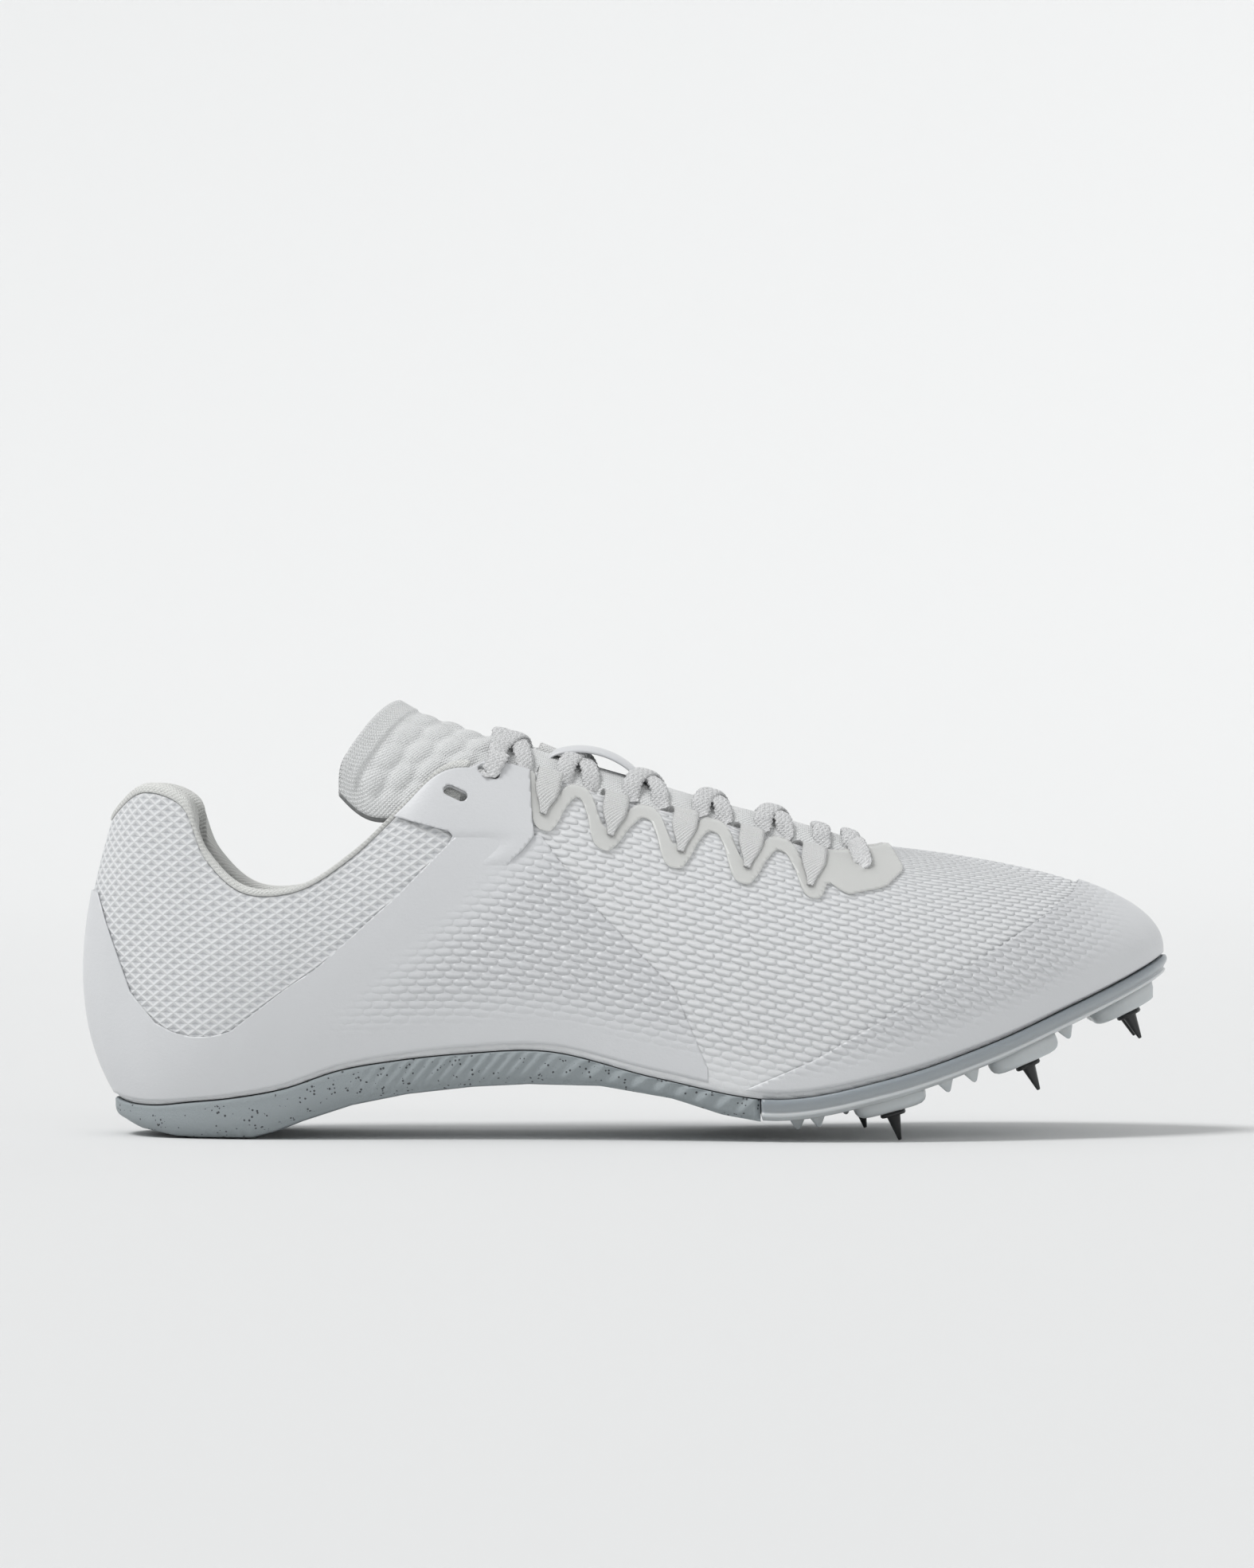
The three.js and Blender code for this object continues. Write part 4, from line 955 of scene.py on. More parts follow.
def loopRings(x0, side):
    # A band that widens up the form from a narrow foot, then turns over the edge in an arch.
    shape = loopShape
    lift = last["gap"] * 2 + filmThick
    edge, normal, up, forward = topFrame(x0, side)
    down = np.linspace(shape["drop"], 0.3, 22)
    spread = shape["foot"] + (shape["half"] - shape["foot"]) * smooth(shape["drop"] - down, 0, 7)
    offsets = np.array([-1, -0.6, -0.2, 0.2, 0.6, 1])
    xs = x0 + shape["footShift"] * down / shape["drop"]
    spots = [surfaceAt(a, float(topHeight(a, side)) - b, side) for a, b in zip(xs, down)]
    t, v = np.array([a for a, b in spots]), np.array([b for a, b in spots])
    body, bodyNormal = form(t, v), formNormal(t, v)
    angle = np.linspace(0.25, shape["sweep"], 16)
    centre = edge - normal * (shape["arch"] - lift)
    arch = np.cos(angle)[:, None] * normal + np.sin(angle)[:, None] * 1.15 * up
    rows = []
    for front in (shape["thick"], 0.0):
        lower = (body + bodyNormal * (lift + front))[:, None] + (offsets * spread[:, None])[..., None] * forward
        over = (centre + arch * (shape["arch"] + front))[:, None] + (offsets * shape["half"])[:, None] * forward
        rows.append(np.concatenate([lower, over]))
    return np.concatenate([rows[0], rows[1][:, ::-1]], 1)


for label, side in (("lateral", -1), ("medial", 1)):
    for i, place in enumerate(loopPlaces):
        points, blocks, uv = loft(loopRings(place, side))
        makePiece(f"loop_{label}{i + 1}", points, blocks, [f"loop_{label}_{i + 1}"], uv, look="web")
print("stage: loops made")

# Collar
collarSettings = {"columns": 220, "perSpan": 5}


def makeCollar():
    # A closed profile of height and depth, from the binding's outer foot over the edge and down the lining.
    t = np.linspace(turnOf(collarStart, -1), turnOf(collarStart, 1), collarSettings["columns"])
    seat = last["wall"] + last["gap"]
    length, roll, pad = ribLength(t), trimAt(t, 0), trimAt(t, 1)
    skirt = 8 + 2.2 * pad
    rows = [
        (0 * roll, -0.2 + 0 * roll), (0.3 * roll, -0.55 + 0 * roll), (0.7 * roll, -0.35 + 0 * roll),
        (roll, 0.5 * seat + 0 * roll), (0.85 * roll, seat + 0.55 * pad), (0.2 * roll, seat + 0.95 * pad),
        (-0.3 * skirt, seat + pad), (-0.7 * skirt, seat + 0.45 * pad + 0.3), (-skirt, seat + 0.5 + 0 * roll),
        (-skirt, seat + 0 * roll), (-0.4 * skirt, seat + 0 * roll), (0 * roll, seat + 0 * roll),
        (0 * roll, 0.5 * seat + 0 * roll), (0 * roll, 0.3 + 0 * roll),
    ]
    profile = np.stack([np.stack([a, b, 0 * a], -1) for a, b in rows], 1)
    profile = ringCurve(profile, collarSettings["perSpan"])
    v = 1 - (roll / length)[:, None] + profile[..., 0] / length[:, None]
    tt = np.broadcast_to(t[:, None], v.shape)
    rings = onForm(tt, v, profile[..., 1])
    points, blocks, uv = loft(rings)
    piece = makePiece("collarLining", points, blocks, ["collar"], uv, look="binding")


makeCollar()
print("stage: collar made")

# Tongue
tongueRows = np.array([  # at, height, middle, half, depth, sweep
    [75.8, 76.4, 1.6, 13.5, 9, 0], [71.3, 82.9, 1.6, 15.8, 15, 0], [65.6, 88.4, 1.3, 18.6, 18, 0],
    [58.2, 94.2, 1.1, 20.8, 20.5, 0], [50.9, 100.8, 0.8, 22.8, 23, 0], [43.6, 107.2, 0.4, 24.6, 26, 0.6],
    [36.2, 113.8, 0.2, 25.0, 30, 2.0], [31.2, 119.4, 0, 24.6, 40, 4.4], [29.2, 122.6, 0, 24.4, 31, 6.2],
])
tongueShape = {"spread": 1.3, "thick": 3.2, "padRow": 6.0, "padPitch": 8.5, "padHeight": 0.8,
               "rows": 230, "spans": 90, "border": 6.0, "edge": 0.9, "tip": 0.7}


def openCurve(points, t):
    # Uniform Catmull-Rom through the rows, the end rows repeated.
    count = len(points)
    p = np.clip(t, 0, 1) * (count - 1)
    k = np.minimum(np.floor(p).astype(int), count - 2)
    w = (p - k)[..., None]
    p0, p1 = points[np.maximum(k - 1, 0)], points[k]
    p2, p3 = points[k + 1], points[np.minimum(k + 2, count - 1)]
    m1, m2 = (p2 - p0) / 2, (p3 - p1) / 2
    return hermite(p1, p2, m1, m2, w)


def tongueForm(sv, angle):
    # The tongue's upper face: s from front to free end, angle across it, an arch of sine and cosine.
    side = np.abs(angle) / tongueShape["spread"]
    sv = sv - 0.05 * smooth(side, 0.7, 1.05) ** 2 * smooth(sv, 0.75, 1)
    at, height, middle, half, depth, sweep = np.moveaxis(openCurve(tongueRows, sv), -1, 0)
    return np.stack([
        along(at) - sweep / 100 * last["length"] * side**1.2,
        across(middle) + (across(half) - last["wall"] - last["gap"]) * np.sin(angle),
        upward(height) - upward(depth) * (1 - np.cos(angle)),
    ], -1)


def tongueNormal(sv, angle):
    # Cross product of the tongue's two directions, by central differences.
    ds = tongueForm(np.minimum(1, sv + 0.01), angle) - tongueForm(np.maximum(0, sv - 0.01), angle)
    da = tongueForm(sv, angle + 0.01) - tongueForm(sv, angle - 0.01)
    return unit(np.cross(da, ds))


def makeTongue():
    # Upper face with rows of oval pads behind a plain border, a rounded edge and the lower face.
    reach, border = tongueShape["spread"], tongueShape["border"]
    shares = np.linspace(0, 1, tongueShape["rows"])
    sv, angle = np.meshgrid(shares, np.linspace(-reach, reach, tongueShape["spans"]), indexing="ij")
    top, normal = tongueForm(sv, angle), tongueNormal(sv, angle)
    fromEnd = arcAlong(top[::-1], 0)[::-1]
    acrossArc = arcAlong(top, 1)
    acrossArc = acrossArc - acrossArc[:, -1:] / 2
    edge = np.abs(acrossArc[:, -1:]) - np.abs(acrossArc)
    row = np.floor((fromEnd - border) / tongueShape["padRow"])
    inRow = (fromEnd - border) / tongueShape["padRow"] - row - 0.5
    inPitch = np.mod(acrossArc / tongueShape["padPitch"] + 0.5 * np.mod(row, 2), 1) - 0.5
    pad = np.clip(1 - (2.1 * inRow) ** 2 - (2.1 * inPitch) ** 2, 0, 1) ** 0.6
    zone = (row >= 0) * (row < 4) * smooth(edge, 4, 6)
    rimBand = 0.5 * (1 - smooth(np.minimum(fromEnd, edge), 4.2, 5.4))
    layer = 0.5 * smooth(fromEnd, 30.5, 31.5)
    top = top + normal * (tongueShape["padHeight"] * pad * zone + rimBand + layer * 0.6)[..., None]
    thick = tongueShape["thick"] * (0.5 + 0.5 * smooth(sv, 0, 0.5))
    under = tongueForm(sv, angle) - normal * thick[..., None]
    left = (top[:, :1] + under[:, :1]) / 2 - unit(top[:, 1:2] - top[:, :1]) * tongueShape["edge"]
    right = (top[:, -1:] + under[:, -1:]) / 2 + unit(top[:, -1:] - top[:, -2:-1]) * tongueShape["edge"]
    rings = np.concatenate([top, right, under[:, ::-1], left], 1)
    tip = rings[-1] + unit(rings[-1] - rings[-3]) * tongueShape["tip"]
    rings = np.concatenate([rings, tip[None]])
    points, blocks, uv = loft(rings)
    piece = makePiece("tonguePad", points, blocks, ["tongue"], uv, look="tongue")


makeTongue()
tongueCrest = tongueForm(np.linspace(0, 1, 400), np.zeros(400))[:, 0]


def tonguePlace(x):
    # Share along the tongue at which its crest passes x.
    return float(np.interp(-x, -tongueCrest, np.linspace(0, 1, 400)))


def onTongue(x, angle, lift):
    # Point lifted off the tongue, and the tongue's normal there.
    sv, an = np.array(tonguePlace(x)), np.array(float(angle))
    return tongueForm(sv, an) + tongueNormal(sv, an) * lift, tongueNormal(sv, an)


keeper = {"back": -20.0, "front": 4.0, "width": 13.0, "thick": 1.6, "rise": 3.4}


def makeKeeper():
    # A short strap along the tongue's crest that arches over one lace bar.
    share = np.linspace(0, 1, 40)
    xs = keeper["front"] + (keeper["back"] - keeper["front"]) * share
    lift = (keeper["rise"] + 1.6) * np.sin(math.pi * share) ** 0.6 - 1.3
    rings = []
    for xv, up in zip(xs, lift):
        spot, facing = onTongue(xv, 0, up)
        sideways = np.array([0, 1, 0])
        angle = fullTurn(24)
        w, h = section(angle, keeper["width"], keeper["thick"], 0.5, 0.7)
        rings.append(spot + w[:, None] * sideways + (h - 0.022 * w**2 + keeper["thick"] / 2)[:, None] * facing)
    points, blocks, uv = loft(np.array(rings))
    makePiece("laceKeeper", points, blocks, (), uv, {"emboss": np.zeros(len(points))}, look="film")


makeKeeper()
print("stage: tongue made")

# Laces
lace = {"width": 4.8, "thick": 1.9, "braid": 1.9, "relief": 0.10}


def bandAlong(name, knots, facings, nodes):
    # A flat braid along a curve through the knots; its broad side looks along the facings.
    t = np.linspace(0, 1, 150)
    path = openCurve(np.array(knots), t)
    face = unit(openCurve(np.array(facings), t))
    tangent = unit(np.gradient(path, axis=0))
    side = unit(np.cross(tangent, face))
    face = np.cross(side, tangent)
    angle = fullTurn(24)
    w, h = section(angle, lace["width"], lace["thick"], 0.8, 0.9)
    phase = 2 * math.pi * arcAlong(path, 0) / lace["braid"]
    braid = 1 + lace["relief"] * np.sin(phase[:, None] + 2.2 * np.abs(np.cos(angle)) + (np.sin(angle) > 0) * 1.5)
    rings = path[:, None] + (w * braid)[..., None] * side[:, None] + (h * braid)[..., None] * face[:, None]
    points, blocks, uv = loft(rings)
    makePiece(name, points, blocks, nodes, uv, look="lace")


def laceEnd(kind, place, side, way):
    # Knots from the hidden end outwards: through a loop's arch, or out of a slot and over the edge.
    if kind == "loop":
        edge, normal, up, forward = topFrame(float(loopPlaces[place]), side)
        heart = edge - normal * (loopShape["arch"] - 1.2) + up * 0.9
        knots = [heart - forward * way * 3.0 - up * 0.8, heart + forward * way * 1.2 + up * 0.3,
                 heart + forward * way * 4.6 - normal * 2.6 + up * 1.0]
        return knots, [normal + up * 0.4, normal * 0.7 + up, up + normal * 0.2]
    spot, normal, t, v = slotFrame(slotTable[place], side)
    edge, edgeNormal, up, forward = topFrame(float(spot[0]) + way * 2.2, side)
    knots = [spot - normal * 3.4, spot + normal * 1.0 + forward * way * 0.4,
             edge + edgeNormal * 1.4 + up * 1.6, edge - edgeNormal * 2.6 + up * 2.9]
    return knots, [up, normal + up * 0.4, up + normal, up + normal * 0.3]


def crossing(name, first, final, lift, nodes=()):
    # One bar from the outer side's end to the inner side's end, lifted over the tongue's crest.
    knots, facings = laceEnd(*first)
    endKnots, endFacings = laceEnd(*final)
    x0, x1 = knots[-1][0], endKnots[-1][0]
    for angle in (-0.5, -0.17, 0.17, 0.5):
        xv = x0 + (x1 - x0) * (0.5 + angle * 0.75)
        over = lift * (1 - (angle / 0.6) ** 2)
        spot, facing = onTongue(xv, angle, lace["thick"] / 2 + 0.5 + over)
        knots.append(spot)
        facings.append(facing)
    bandAlong(name, knots + endKnots[::-1], facings + endFacings[::-1], list(nodes))


crossing("laceTop", ("slot", 0, -1, 1), ("loop", 0, 1, -1), 1.2, ["lace_top"])
crossing("laceTopUnder", ("loop", 0, -1, -1), ("slot", 0, 1, 1), 0.0)
for i in range(4):
    crossing(f"lace{i + 1}", ("loop", i, -1, 1), ("loop", i + 1, 1, -1), 1.0, [f"lace_{i + 1}"])
    crossing(f"lace{i + 1}Under", ("loop", i + 1, -1, -1), ("loop", i, 1, 1), 0.0)
crossing("laceFront", ("slot", 2, -1, 0), ("slot", 2, 1, 0), 0.3, ["lace_5"])
crossing("laceFrontLeft", ("loop", 4, -1, 1), ("loop", 4, 1, 1), -0.4)
print("stage: laces made")

# Sole
sole = {
    "joint": 34.0, "heelLip": 0.9, "plateLip": 1.9, "plateThick": 5.6, "pitch": 5.4, "flute": 0.9,
    "lean": 0.9, "flatHalf": 11.0, "dish": 1.6, "insole": 3.0,
}
ledge = last["wall"] + last["gap"]
undersideTable = np.array([
    [2.6, 5.0], [5, 2.2], [8.5, 0.3], [10.5, 0], [15.8, 0], [18, 1.9], [20.5, 4.9], [25, 9.4], [30, 12.5],
    [36, 14.6], [41, 15.4], [47.5, 15.0], [54, 11.6], [58.5, 7.2], [62.2, 5.2],
])


def undersideAt(x):
    # Height of the outsole's underside at x.
    return upward(np.interp((x / last["length"] + 0.5) * 100, undersideTable[:, 0], undersideTable[:, 1]))


def edgePoint(index, side, inset):
    # Bottom-edge point at station index (array) on one side, moved in by inset.
    t = index / stationCount if side < 0 else 1 - index / stationCount
    return closedCurve(footPoints, t) - outward(t) * np.asarray(inset, float)[..., None]


footHalf = closedCurve(footPoints, halfTurns / stationCount)[:, 0]


def indexAtX(x):
    # Station index at which the bottom edge passes x.
    return np.interp(-np.asarray(x, float), -footHalf, halfTurns)


def soleRings(index, rim, bedTop, bedUnder, underFlat):
    # Cross rings: the outer side's rim, across below, the inner side's rim, and back across the bed.
    # rim rows run from the bed's edge out and down: inset and drop arrays, one value for each index.
    def sidePoints(side):
        rows = []
        for inset, dropped in rim:
            p = edgePoint(index, side, inset)
            p[:, 2] -= dropped
            rows.append(p)
        return rows

    outer, inner = sidePoints(-1), sidePoints(1)
    a, b = edgePoint(index, -1, 0 * index + ledge), edgePoint(index, 1, 0 * index + ledge)
    under, bed = [], []
    for share in np.linspace(underFlat, 1 - underFlat, 9):
        p = a + (b - a) * np.asarray(share)[..., None]
        p[:, 2] -= bedUnder
        under.append(p)
    for share in np.linspace(0.94, 0.06, 9):
        p = a + (b - a) * share
        p[:, 2] -= bedTop + sole["dish"] * np.sin(math.pi * share)
        bed.append(p)
    return np.stack(outer + under + inner[::-1] + bed, 1)


def makeOutsole():
    # The cup's rings, then leaning flutes pressed into its side: a wave of x and height.
    jointIndex = float(indexAtX(sole["joint"])) + 0.01
    xs = np.concatenate([np.linspace(sole["joint"] - 0.2, -88, 330), np.linspace(-88.6, -129, 90)])
    index = np.concatenate([[jointIndex], indexAtX(xs), np.linspace(17.0, heelStation - 0.05, 26)])
    index = np.unique(index)
    edge = edgePoint(index, -1, 0 * index)
    height = edge[:, 2] - last["gap"] - undersideAt(edge[:, 0])
    width = np.linalg.norm(edge - edgePoint(index, 1, 0 * index), axis=-1)
    lip = sole["heelLip"]
    endRound = 1.6 * (1 - smooth(sole["joint"] - edge[:, 0], 0, 2.5)) ** 2
    levels = [(ledge, 0.0), (0.2, 0.0), (0.35 - lip, 0.01), (-lip, 0.07), (-lip, 0.2), (-lip, 0.35), (0.1 - lip, 0.5),
              (0.3 - lip, 0.62), (0.8 - lip, 0.75), (1.1, 0.87), (2.0, 0.95)]
    rim = [(a + endRound * (a < 1), last["gap"] + height * b) for a, b in levels]
    flat = np.clip(0.5 - sole["flatHalf"] / width, 0.1, 0.4)
    rings = soleRings(index, rim, last["gap"], last["gap"] + height, flat)
    rings = ringCurve(rings, 3)
    m = len(levels) * 3
    side = np.zeros(rings.shape[1])
    weight = np.clip(np.minimum(np.arange(m) - 5, m - 1 - np.arange(m)) / 4, 0, 1)
    side[:m] = weight
    start = (len(levels) + 9) * 3
    side[start : start + m] = np.maximum(side[start : start + m], weight[::-1])
    x, z = rings[..., 0], rings[..., 2]
    phase = (x + sole["lean"] * (rings[:, :1, 2] - z)) / sole["pitch"]
    wave = (0.5 - 0.5 * np.cos(2 * math.pi * phase)) ** 0.8
    strong = smooth(x, -30, 0) * smooth(33 - x, 0, 2)
    weak = smooth(x, -76, -50) * (1 - smooth(x, -30, 0))
    fineWave = 0.5 - 0.5 * np.cos(2 * math.pi * phase * 1.55)
    depth = sole["flute"] * (strong * wave + 0.5 * weak * fineWave)
    planArc = arcAlong(rings * np.array([1, 1, 0]), 0)
    heelRib = smooth(-x, 92, 98) * (0.5 - 0.5 * np.cos(2 * math.pi * planArc / 3.2))
    down = smooth(rings[:, :1, 2] - z, 7, 9)
    depth = depth + 0.35 * heelRib * down
    centre = rings.mean(1, keepdims=True)
    inwards = unit((centre - rings) * np.array([0.2, 1, 0]))
    back = smooth(-x, 118, 130)[..., None]
    inwards = unit(inwards * (1 - back) + np.array([1.0, 0, 0]) * back)
    rings = rings + inwards * (depth * side)[..., None]
    points, blocks, uv = loft(rings)
    makePiece("heelUnit", points, blocks, ["outsole_rear"], uv, look="rubber")


def outerEdgeAt(x):
    # Bottom-edge point of the outer side at one x.
    return edgePoint(indexAtX(np.array([x])), -1, np.zeros(1))[0]


def plateSlope(x):
    # Slope of the bottom edge, from its points 6 mm before and behind.
    a, b = outerEdgeAt(x - 6), outerEdgeAt(x + 6)
    return math.atan2(b[2] - a[2], b[0] - a[0])


spikeSeats = [  # name, percent of length, percent of width, stands on the floor
    ("lateral_rear", 73.7, -34, True), ("lateral_middle", 85.9, -25, False), ("lateral_front", 95.6, -3, False),
    ("medial_rear", 71.4, 27, True), ("medial_middle", 86.8, 31, False), ("medial_front", 95.6, 16.5, False),
]
spike = {"length": 6.4, "base": 3.4, "tip": 0.9, "flange": 6.6, "flangeThick": 1.0, "stud": 4.8, "studLength": 3.2}
pod = {"length": 19.0, "width": 15.0, "height": 3.6, "power": 0.62}


def seatFrame(at, out, stands):
    # A pod's lower face: its middle and slope, set so that a standing spike's tip meets the floor.
    x = float(along(at))
    slope = plateSlope(x)
    under = outerEdgeAt(x)[2] - sole["plateThick"]
    axis = np.array([math.sin(slope), 0, -math.cos(slope)])
    face = np.array([x, float(across(out)), under]) + axis * pod["height"]
    if stands:
        reach = last["gap"] + spike["flangeThick"] + spike["length"]
        face[2] = reach * math.cos(slope) + spike["tip"] / 2 * math.sin(slope)
    return face, slope


def placed(points, face, slope):
    # Points turned by the slope in side view and moved to the face.
    c, d = math.cos(slope), math.sin(slope)
    x = points[..., 0] * c - points[..., 2] * d
    z = points[..., 0] * d + points[..., 2] * c
    return np.stack([x, points[..., 1], z], -1) + face


plateParts, plateBlocks, plateLevels = [], [], []


def addToPlate(points, blocks, levels):
    # One closed shell more for the plate, faces outwards.
    offset = sum(len(p) for p in plateParts)
    if signedVolume(points, blocks) < 0:
        blocks = [b[:, ::-1] for b in blocks]
    plateParts.append(points)
    plateBlocks.extend(b + offset for b in blocks)
    plateLevels.append(levels)


def plateBody():
    # The plate's rings: a raised lip, a deep side band, a ridge and the flat below.
    index = np.linspace(float(indexAtX(sole["joint"])) - 0.01, 0.05, 190)
    index = np.concatenate([index, [0.03, 0.015]])
    thick, lip = sole["plateThick"], sole["plateLip"]
    zero = 0 * index
    levels = [(ledge, last["gap"]), (0.4, last["gap"]), (0.5 - lip, last["gap"] - 0.2), (-lip, last["gap"] + 0.5),
              (0.1 - lip, 0.3 * thick), (0.7 - lip, 0.5 * thick), (0.9 - lip, 0.6 * thick), (0.5 - lip, 0.66 * thick),
              (0.6 - lip, 0.78 * thick), (1.6 - lip, 0.86 * thick), (2.6 - lip, 0.95 * thick),
              (3.6 - lip, thick)]
    rim = [(zero + a, zero + b) for a, b in levels]
    rings = soleRings(index, rim, last["gap"], thick, 0.08)
    rings = ringCurve(rings, 3)
    points, blocks, uv = loft(rings)
    edge = edgePoint(index, -1, zero)
    level = np.clip((edge[:, 2:3] - rings[..., 2]) / thick, 0, 1)
    level = np.concatenate([level.ravel(), [0.8, 0.8]])
    addToPlate(points, blocks, level)


def podShell(at, out, stands):
    # A rounded block: superellipse rings that shrink towards its lower face.
    face, slope = seatFrame(at, out, stands)
    angle = fullTurn(56)
    x, y = section(angle, pod["length"], pod["width"], pod["power"], pod["power"])
    profile = [(0.55, 0.0), (0.72, 0.02), (0.84, 0.25), (0.93, 0.8), (0.98, 1.6), (1.0, 2.6)]
    profile.append((1.0, pod["height"] + 1.8))
    rings = np.array([
        np.stack([x * a, y * a, 0 * x + h], -1) for a, h in profile
    ])
    rings = placed(rings, face, slope)
    points, blocks, uv = loft(rings)
    limit = edgePoint(indexAtX(points[:, 0]), -1, 0 * points[:, 0] + 0.4)[:, 1]
    limitIn = edgePoint(indexAtX(points[:, 0]), 1, 0 * points[:, 0] + 0.4)[:, 1]
    points[:, 1] = np.clip(points[:, 1], limit, limitIn)
    points[:, 0] = np.minimum(points[:, 0], float(along(98.6)))
    addToPlate(points, blocks, np.full(len(points), 0.95))


toothPlaces = [
    (65.4, -36), (67.2, -38), (78.8, -36), (81.2, -34), (90.0, -20), (65.4, 34), (78.8, 38), (91.5, 31),
    (70, -6), (77, 6), (84, 6),
]


def toothShell(at, out, radius=2.4, height=2.8):
    # A small rounded pyramid under the plate.
    x = float(along(at))
    face = np.array([x, float(across(out)), outerEdgeAt(x)[2] - sole["plateThick"]])
    angle = fullTurn(16) + math.pi / 4
    square = 1 / np.maximum(np.abs(np.cos(angle)), np.abs(np.sin(angle))) ** 0.8
    rings = np.array([
        np.stack([np.cos(angle) * square * r, np.sin(angle) * square * r, 0 * angle - h], -1)
        for r, h in ((radius, -1.2), (radius * 0.85, 0.0), (radius * 0.25, height * 0.9), (radius * 0.08, height))
    ])
    points, blocks, uv = loft(placed(rings, face, plateSlope(x)))
    addToPlate(points, blocks, np.full(len(points), 0.95))


def makePlate():
    # Body, pods and teeth as shells of one piece.
    plateBody()
    for name, at, out, stands in spikeSeats:
        podShell(at, out, stands)
    for at, out in toothPlaces:
        toothShell(at, out)
    quads = np.concatenate([b for b in plateBlocks if b.shape[1] == 4])
    tris = np.concatenate([b for b in plateBlocks if b.shape[1] == 3])
    makePiece("forefootPlate", np.concatenate(plateParts), [quads, tris], ["spike_plate"],
              values={"level": np.concatenate(plateLevels)}, look="plate")


def makeSpike(name, at, out, stands):
    # A turned spike: flange with a chamfer, straight neck and a cone to a blunt tip.
    face, slope = seatFrame(at, out, stands)
    gap, thick, tall = last["gap"], spike["flangeThick"], spike["length"]
    stud, flange, base, tip = (spike[key] / 2 for key in ("stud", "flange", "base", "tip"))
    seat, foot, end = -gap, -gap - thick, -gap - thick - tall
    profile = [
        (0.3, spike["studLength"] - gap), (stud, spike["studLength"] - gap), (stud, seat), (flange - 0.1, seat),
        (flange, seat - 0.15), (flange, seat - 0.7 * thick), (flange - 0.3, foot), (base + 0.15, foot),
        (base, foot - 0.3), (tip + 0.1, end + 0.5), (tip, end + 0.12), (tip - 0.15, end),
    ]
    angle = fullTurn(32)
    rings = np.array([np.stack([np.cos(angle) * r, np.sin(angle) * r, 0 * angle + h], -1) for r, h in profile])
    points, blocks, uv = loft(placed(rings, face, slope))
    piece = makePiece("spike_" + name.replace("_", ""), points, blocks, ["spike_" + name], uv,
                      look="spike")
    edges = piece.modifiers.new("edges", "EDGE_SPLIT")
    edges.split_angle = math.radians(35)


def makeInsole():
    # A dished sheet on the sole's seat: cross rings between an upper and a lower face.
    index = np.linspace(heelStation - 0.25, 0.25, 200)
    inset = last["wall"] + 3 * last["gap"]
    a, b = edgePoint(index, -1, 0 * index + inset), edgePoint(index, 1, 0 * index + inset)
    rows = []
    for share, lift in [(q, None) for q in np.linspace(0, 1, 24)] + [(q, 0) for q in np.linspace(1, 0, 24)]:
        p = a + (b - a) * share
        bowl = sole["dish"] * (1 - abs(2 * share - 1) ** 2)
        if lift is None:
            p[:, 2] += 0.6 * sole["insole"] + (0.4 * sole["insole"] + 0.15) * (1 - abs(2 * share - 1) ** 2) - bowl
        else:
            p[:, 2] += 0.15 - bowl
        rows.append(p)
    points, blocks, uv = loft(np.stack(rows, 1))
    makePiece("sockLiner", points, blocks, ["insole"], uv, look="lining")


makeOutsole()
makePlate()
for row in spikeSeats:
    makeSpike(*row)
makeInsole()
print("stage: sole made")

# Stage, light and camera
studio = {
    "floorRadius": 3.0, "bowlRadius": 7.0, "bowlHeight": 5.0, "spokes": 96, "rings": 40,
    "innerRings": [0.02, 0.5, 1.5], "floor": (0.76, 0.765, 0.765), "air": (0.99, 0.995, 1.0), "airStrength": 0.52,
}
suns = {  # azimuth, elevation, strength, angle
    "keyLight": (-65, 58, 1.80, 20), "sideLight": (15, 25, 0.55, 50),
}


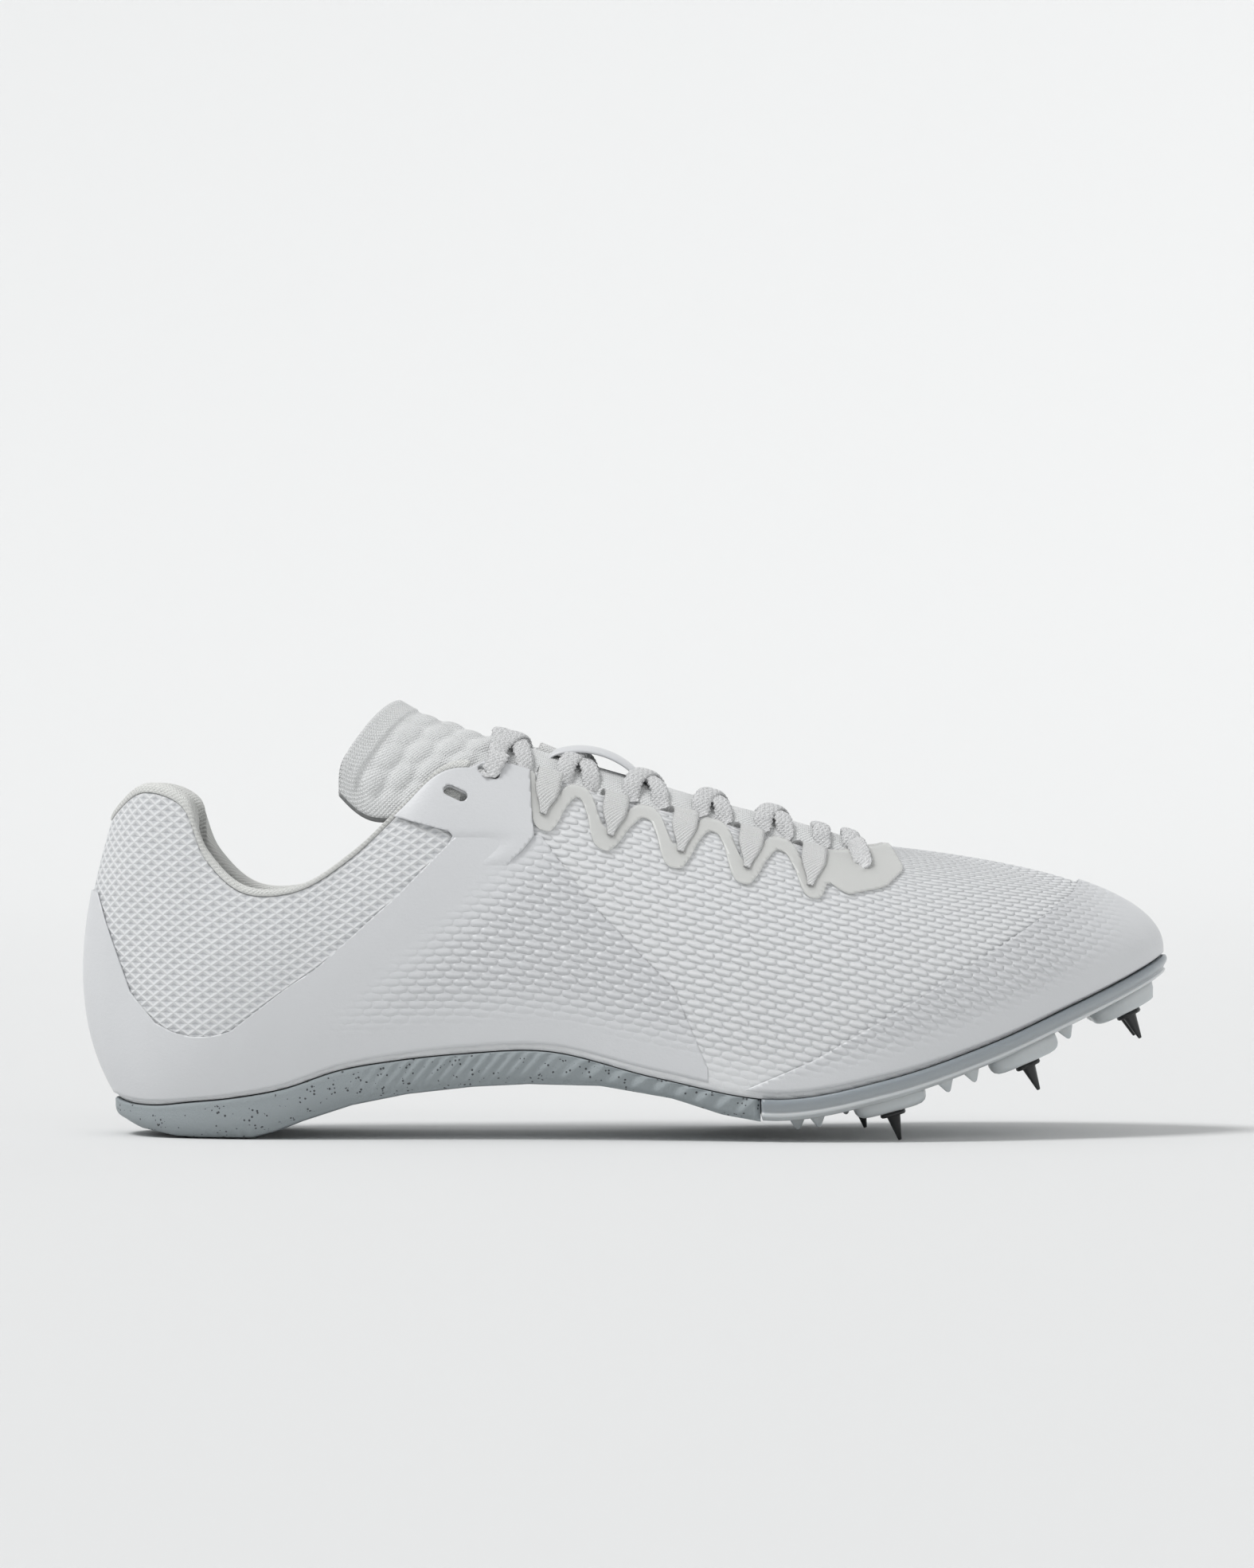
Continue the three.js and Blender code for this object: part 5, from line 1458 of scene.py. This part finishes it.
def makeFloor():
    # A flat floor that sweeps up far away on every side: rings of growing radius and height.
    spokes, rings = studio["spokes"], studio["rings"] + len(studio["innerRings"])
    angle = fullTurn(spokes)
    turn = np.linspace(0, 1, studio["rings"]) * math.pi / 2
    sweep = studio["floorRadius"] + (studio["bowlRadius"] - studio["floorRadius"]) * np.sin(turn)
    radius = np.concatenate([studio["innerRings"], sweep])[:, None]
    height = np.concatenate([[0, 0, 0], studio["bowlHeight"] * (1 - np.cos(turn))])[:, None]
    flat = np.broadcast_to(height, (rings, spokes))
    points = np.stack([radius * np.cos(angle), radius * np.sin(angle), flat], -1).reshape(-1, 3)
    faces = gridFaces(rings, spokes, closedRows=True)
    mesh = bpy.data.meshes.new("studioFloor")
    mesh.from_pydata(points.tolist(), [], faces.tolist() + [list(range(spokes))])
    mesh.polygons.foreach_set("use_smooth", np.full(len(mesh.polygons), True))
    mesh.update()
    floor = bpy.data.objects.new("studioFloor", mesh)
    bpy.context.scene.collection.objects.link(floor)
    material, tree, shader = newMaterial("studio floor", studio["floor"], 0.9)
    floor.data.materials.append(material)


def makeSun(name, azimuth, elevation, strength, angle):
    # A sun that shines from azimuth and elevation in degrees.
    light = bpy.data.lights.new(name, "SUN")
    light.energy, light.angle = strength, math.radians(angle)
    lamp = bpy.data.objects.new(name, light)
    bpy.context.scene.collection.objects.link(lamp)
    lamp.rotation_euler = (math.radians(90 - elevation), 0, math.radians(azimuth))


makeFloor()
for name, settings in suns.items():
    makeSun(name, *settings)
world = bpy.data.worlds.new("studio")
bpy.context.scene.world = world
world.use_nodes = True
air = world.node_tree.nodes["Background"]
air.inputs["Color"].default_value = (*studio["air"], 1)
air.inputs["Strength"].default_value = studio["airStrength"]
bpy.context.scene.view_settings.view_transform = "Standard"

cameraSettings = {"distance": 1600.0, "height": 91.0, "focalPixels": 7712.0, "longSide": 1969.0, "sensor": 36.0}
cameraData = bpy.data.cameras.new("photoCamera")
cameraData.sensor_width = cameraSettings["sensor"]
cameraData.lens = cameraSettings["focalPixels"] * cameraSettings["sensor"] / cameraSettings["longSide"]
cameraData.clip_start, cameraData.clip_end = 0.05, 40.0
camera = bpy.data.objects.new("photoCamera", cameraData)
camera.location = (
    frameShift[0] / 1000, (frameShift[1] - cameraSettings["distance"]) / 1000, cameraSettings["height"] / 1000,
)
camera.rotation_euler = (math.radians(90), 0, 0)
bpy.context.scene.collection.objects.link(camera)
bpy.context.scene.camera = camera
print("stage: studio made")
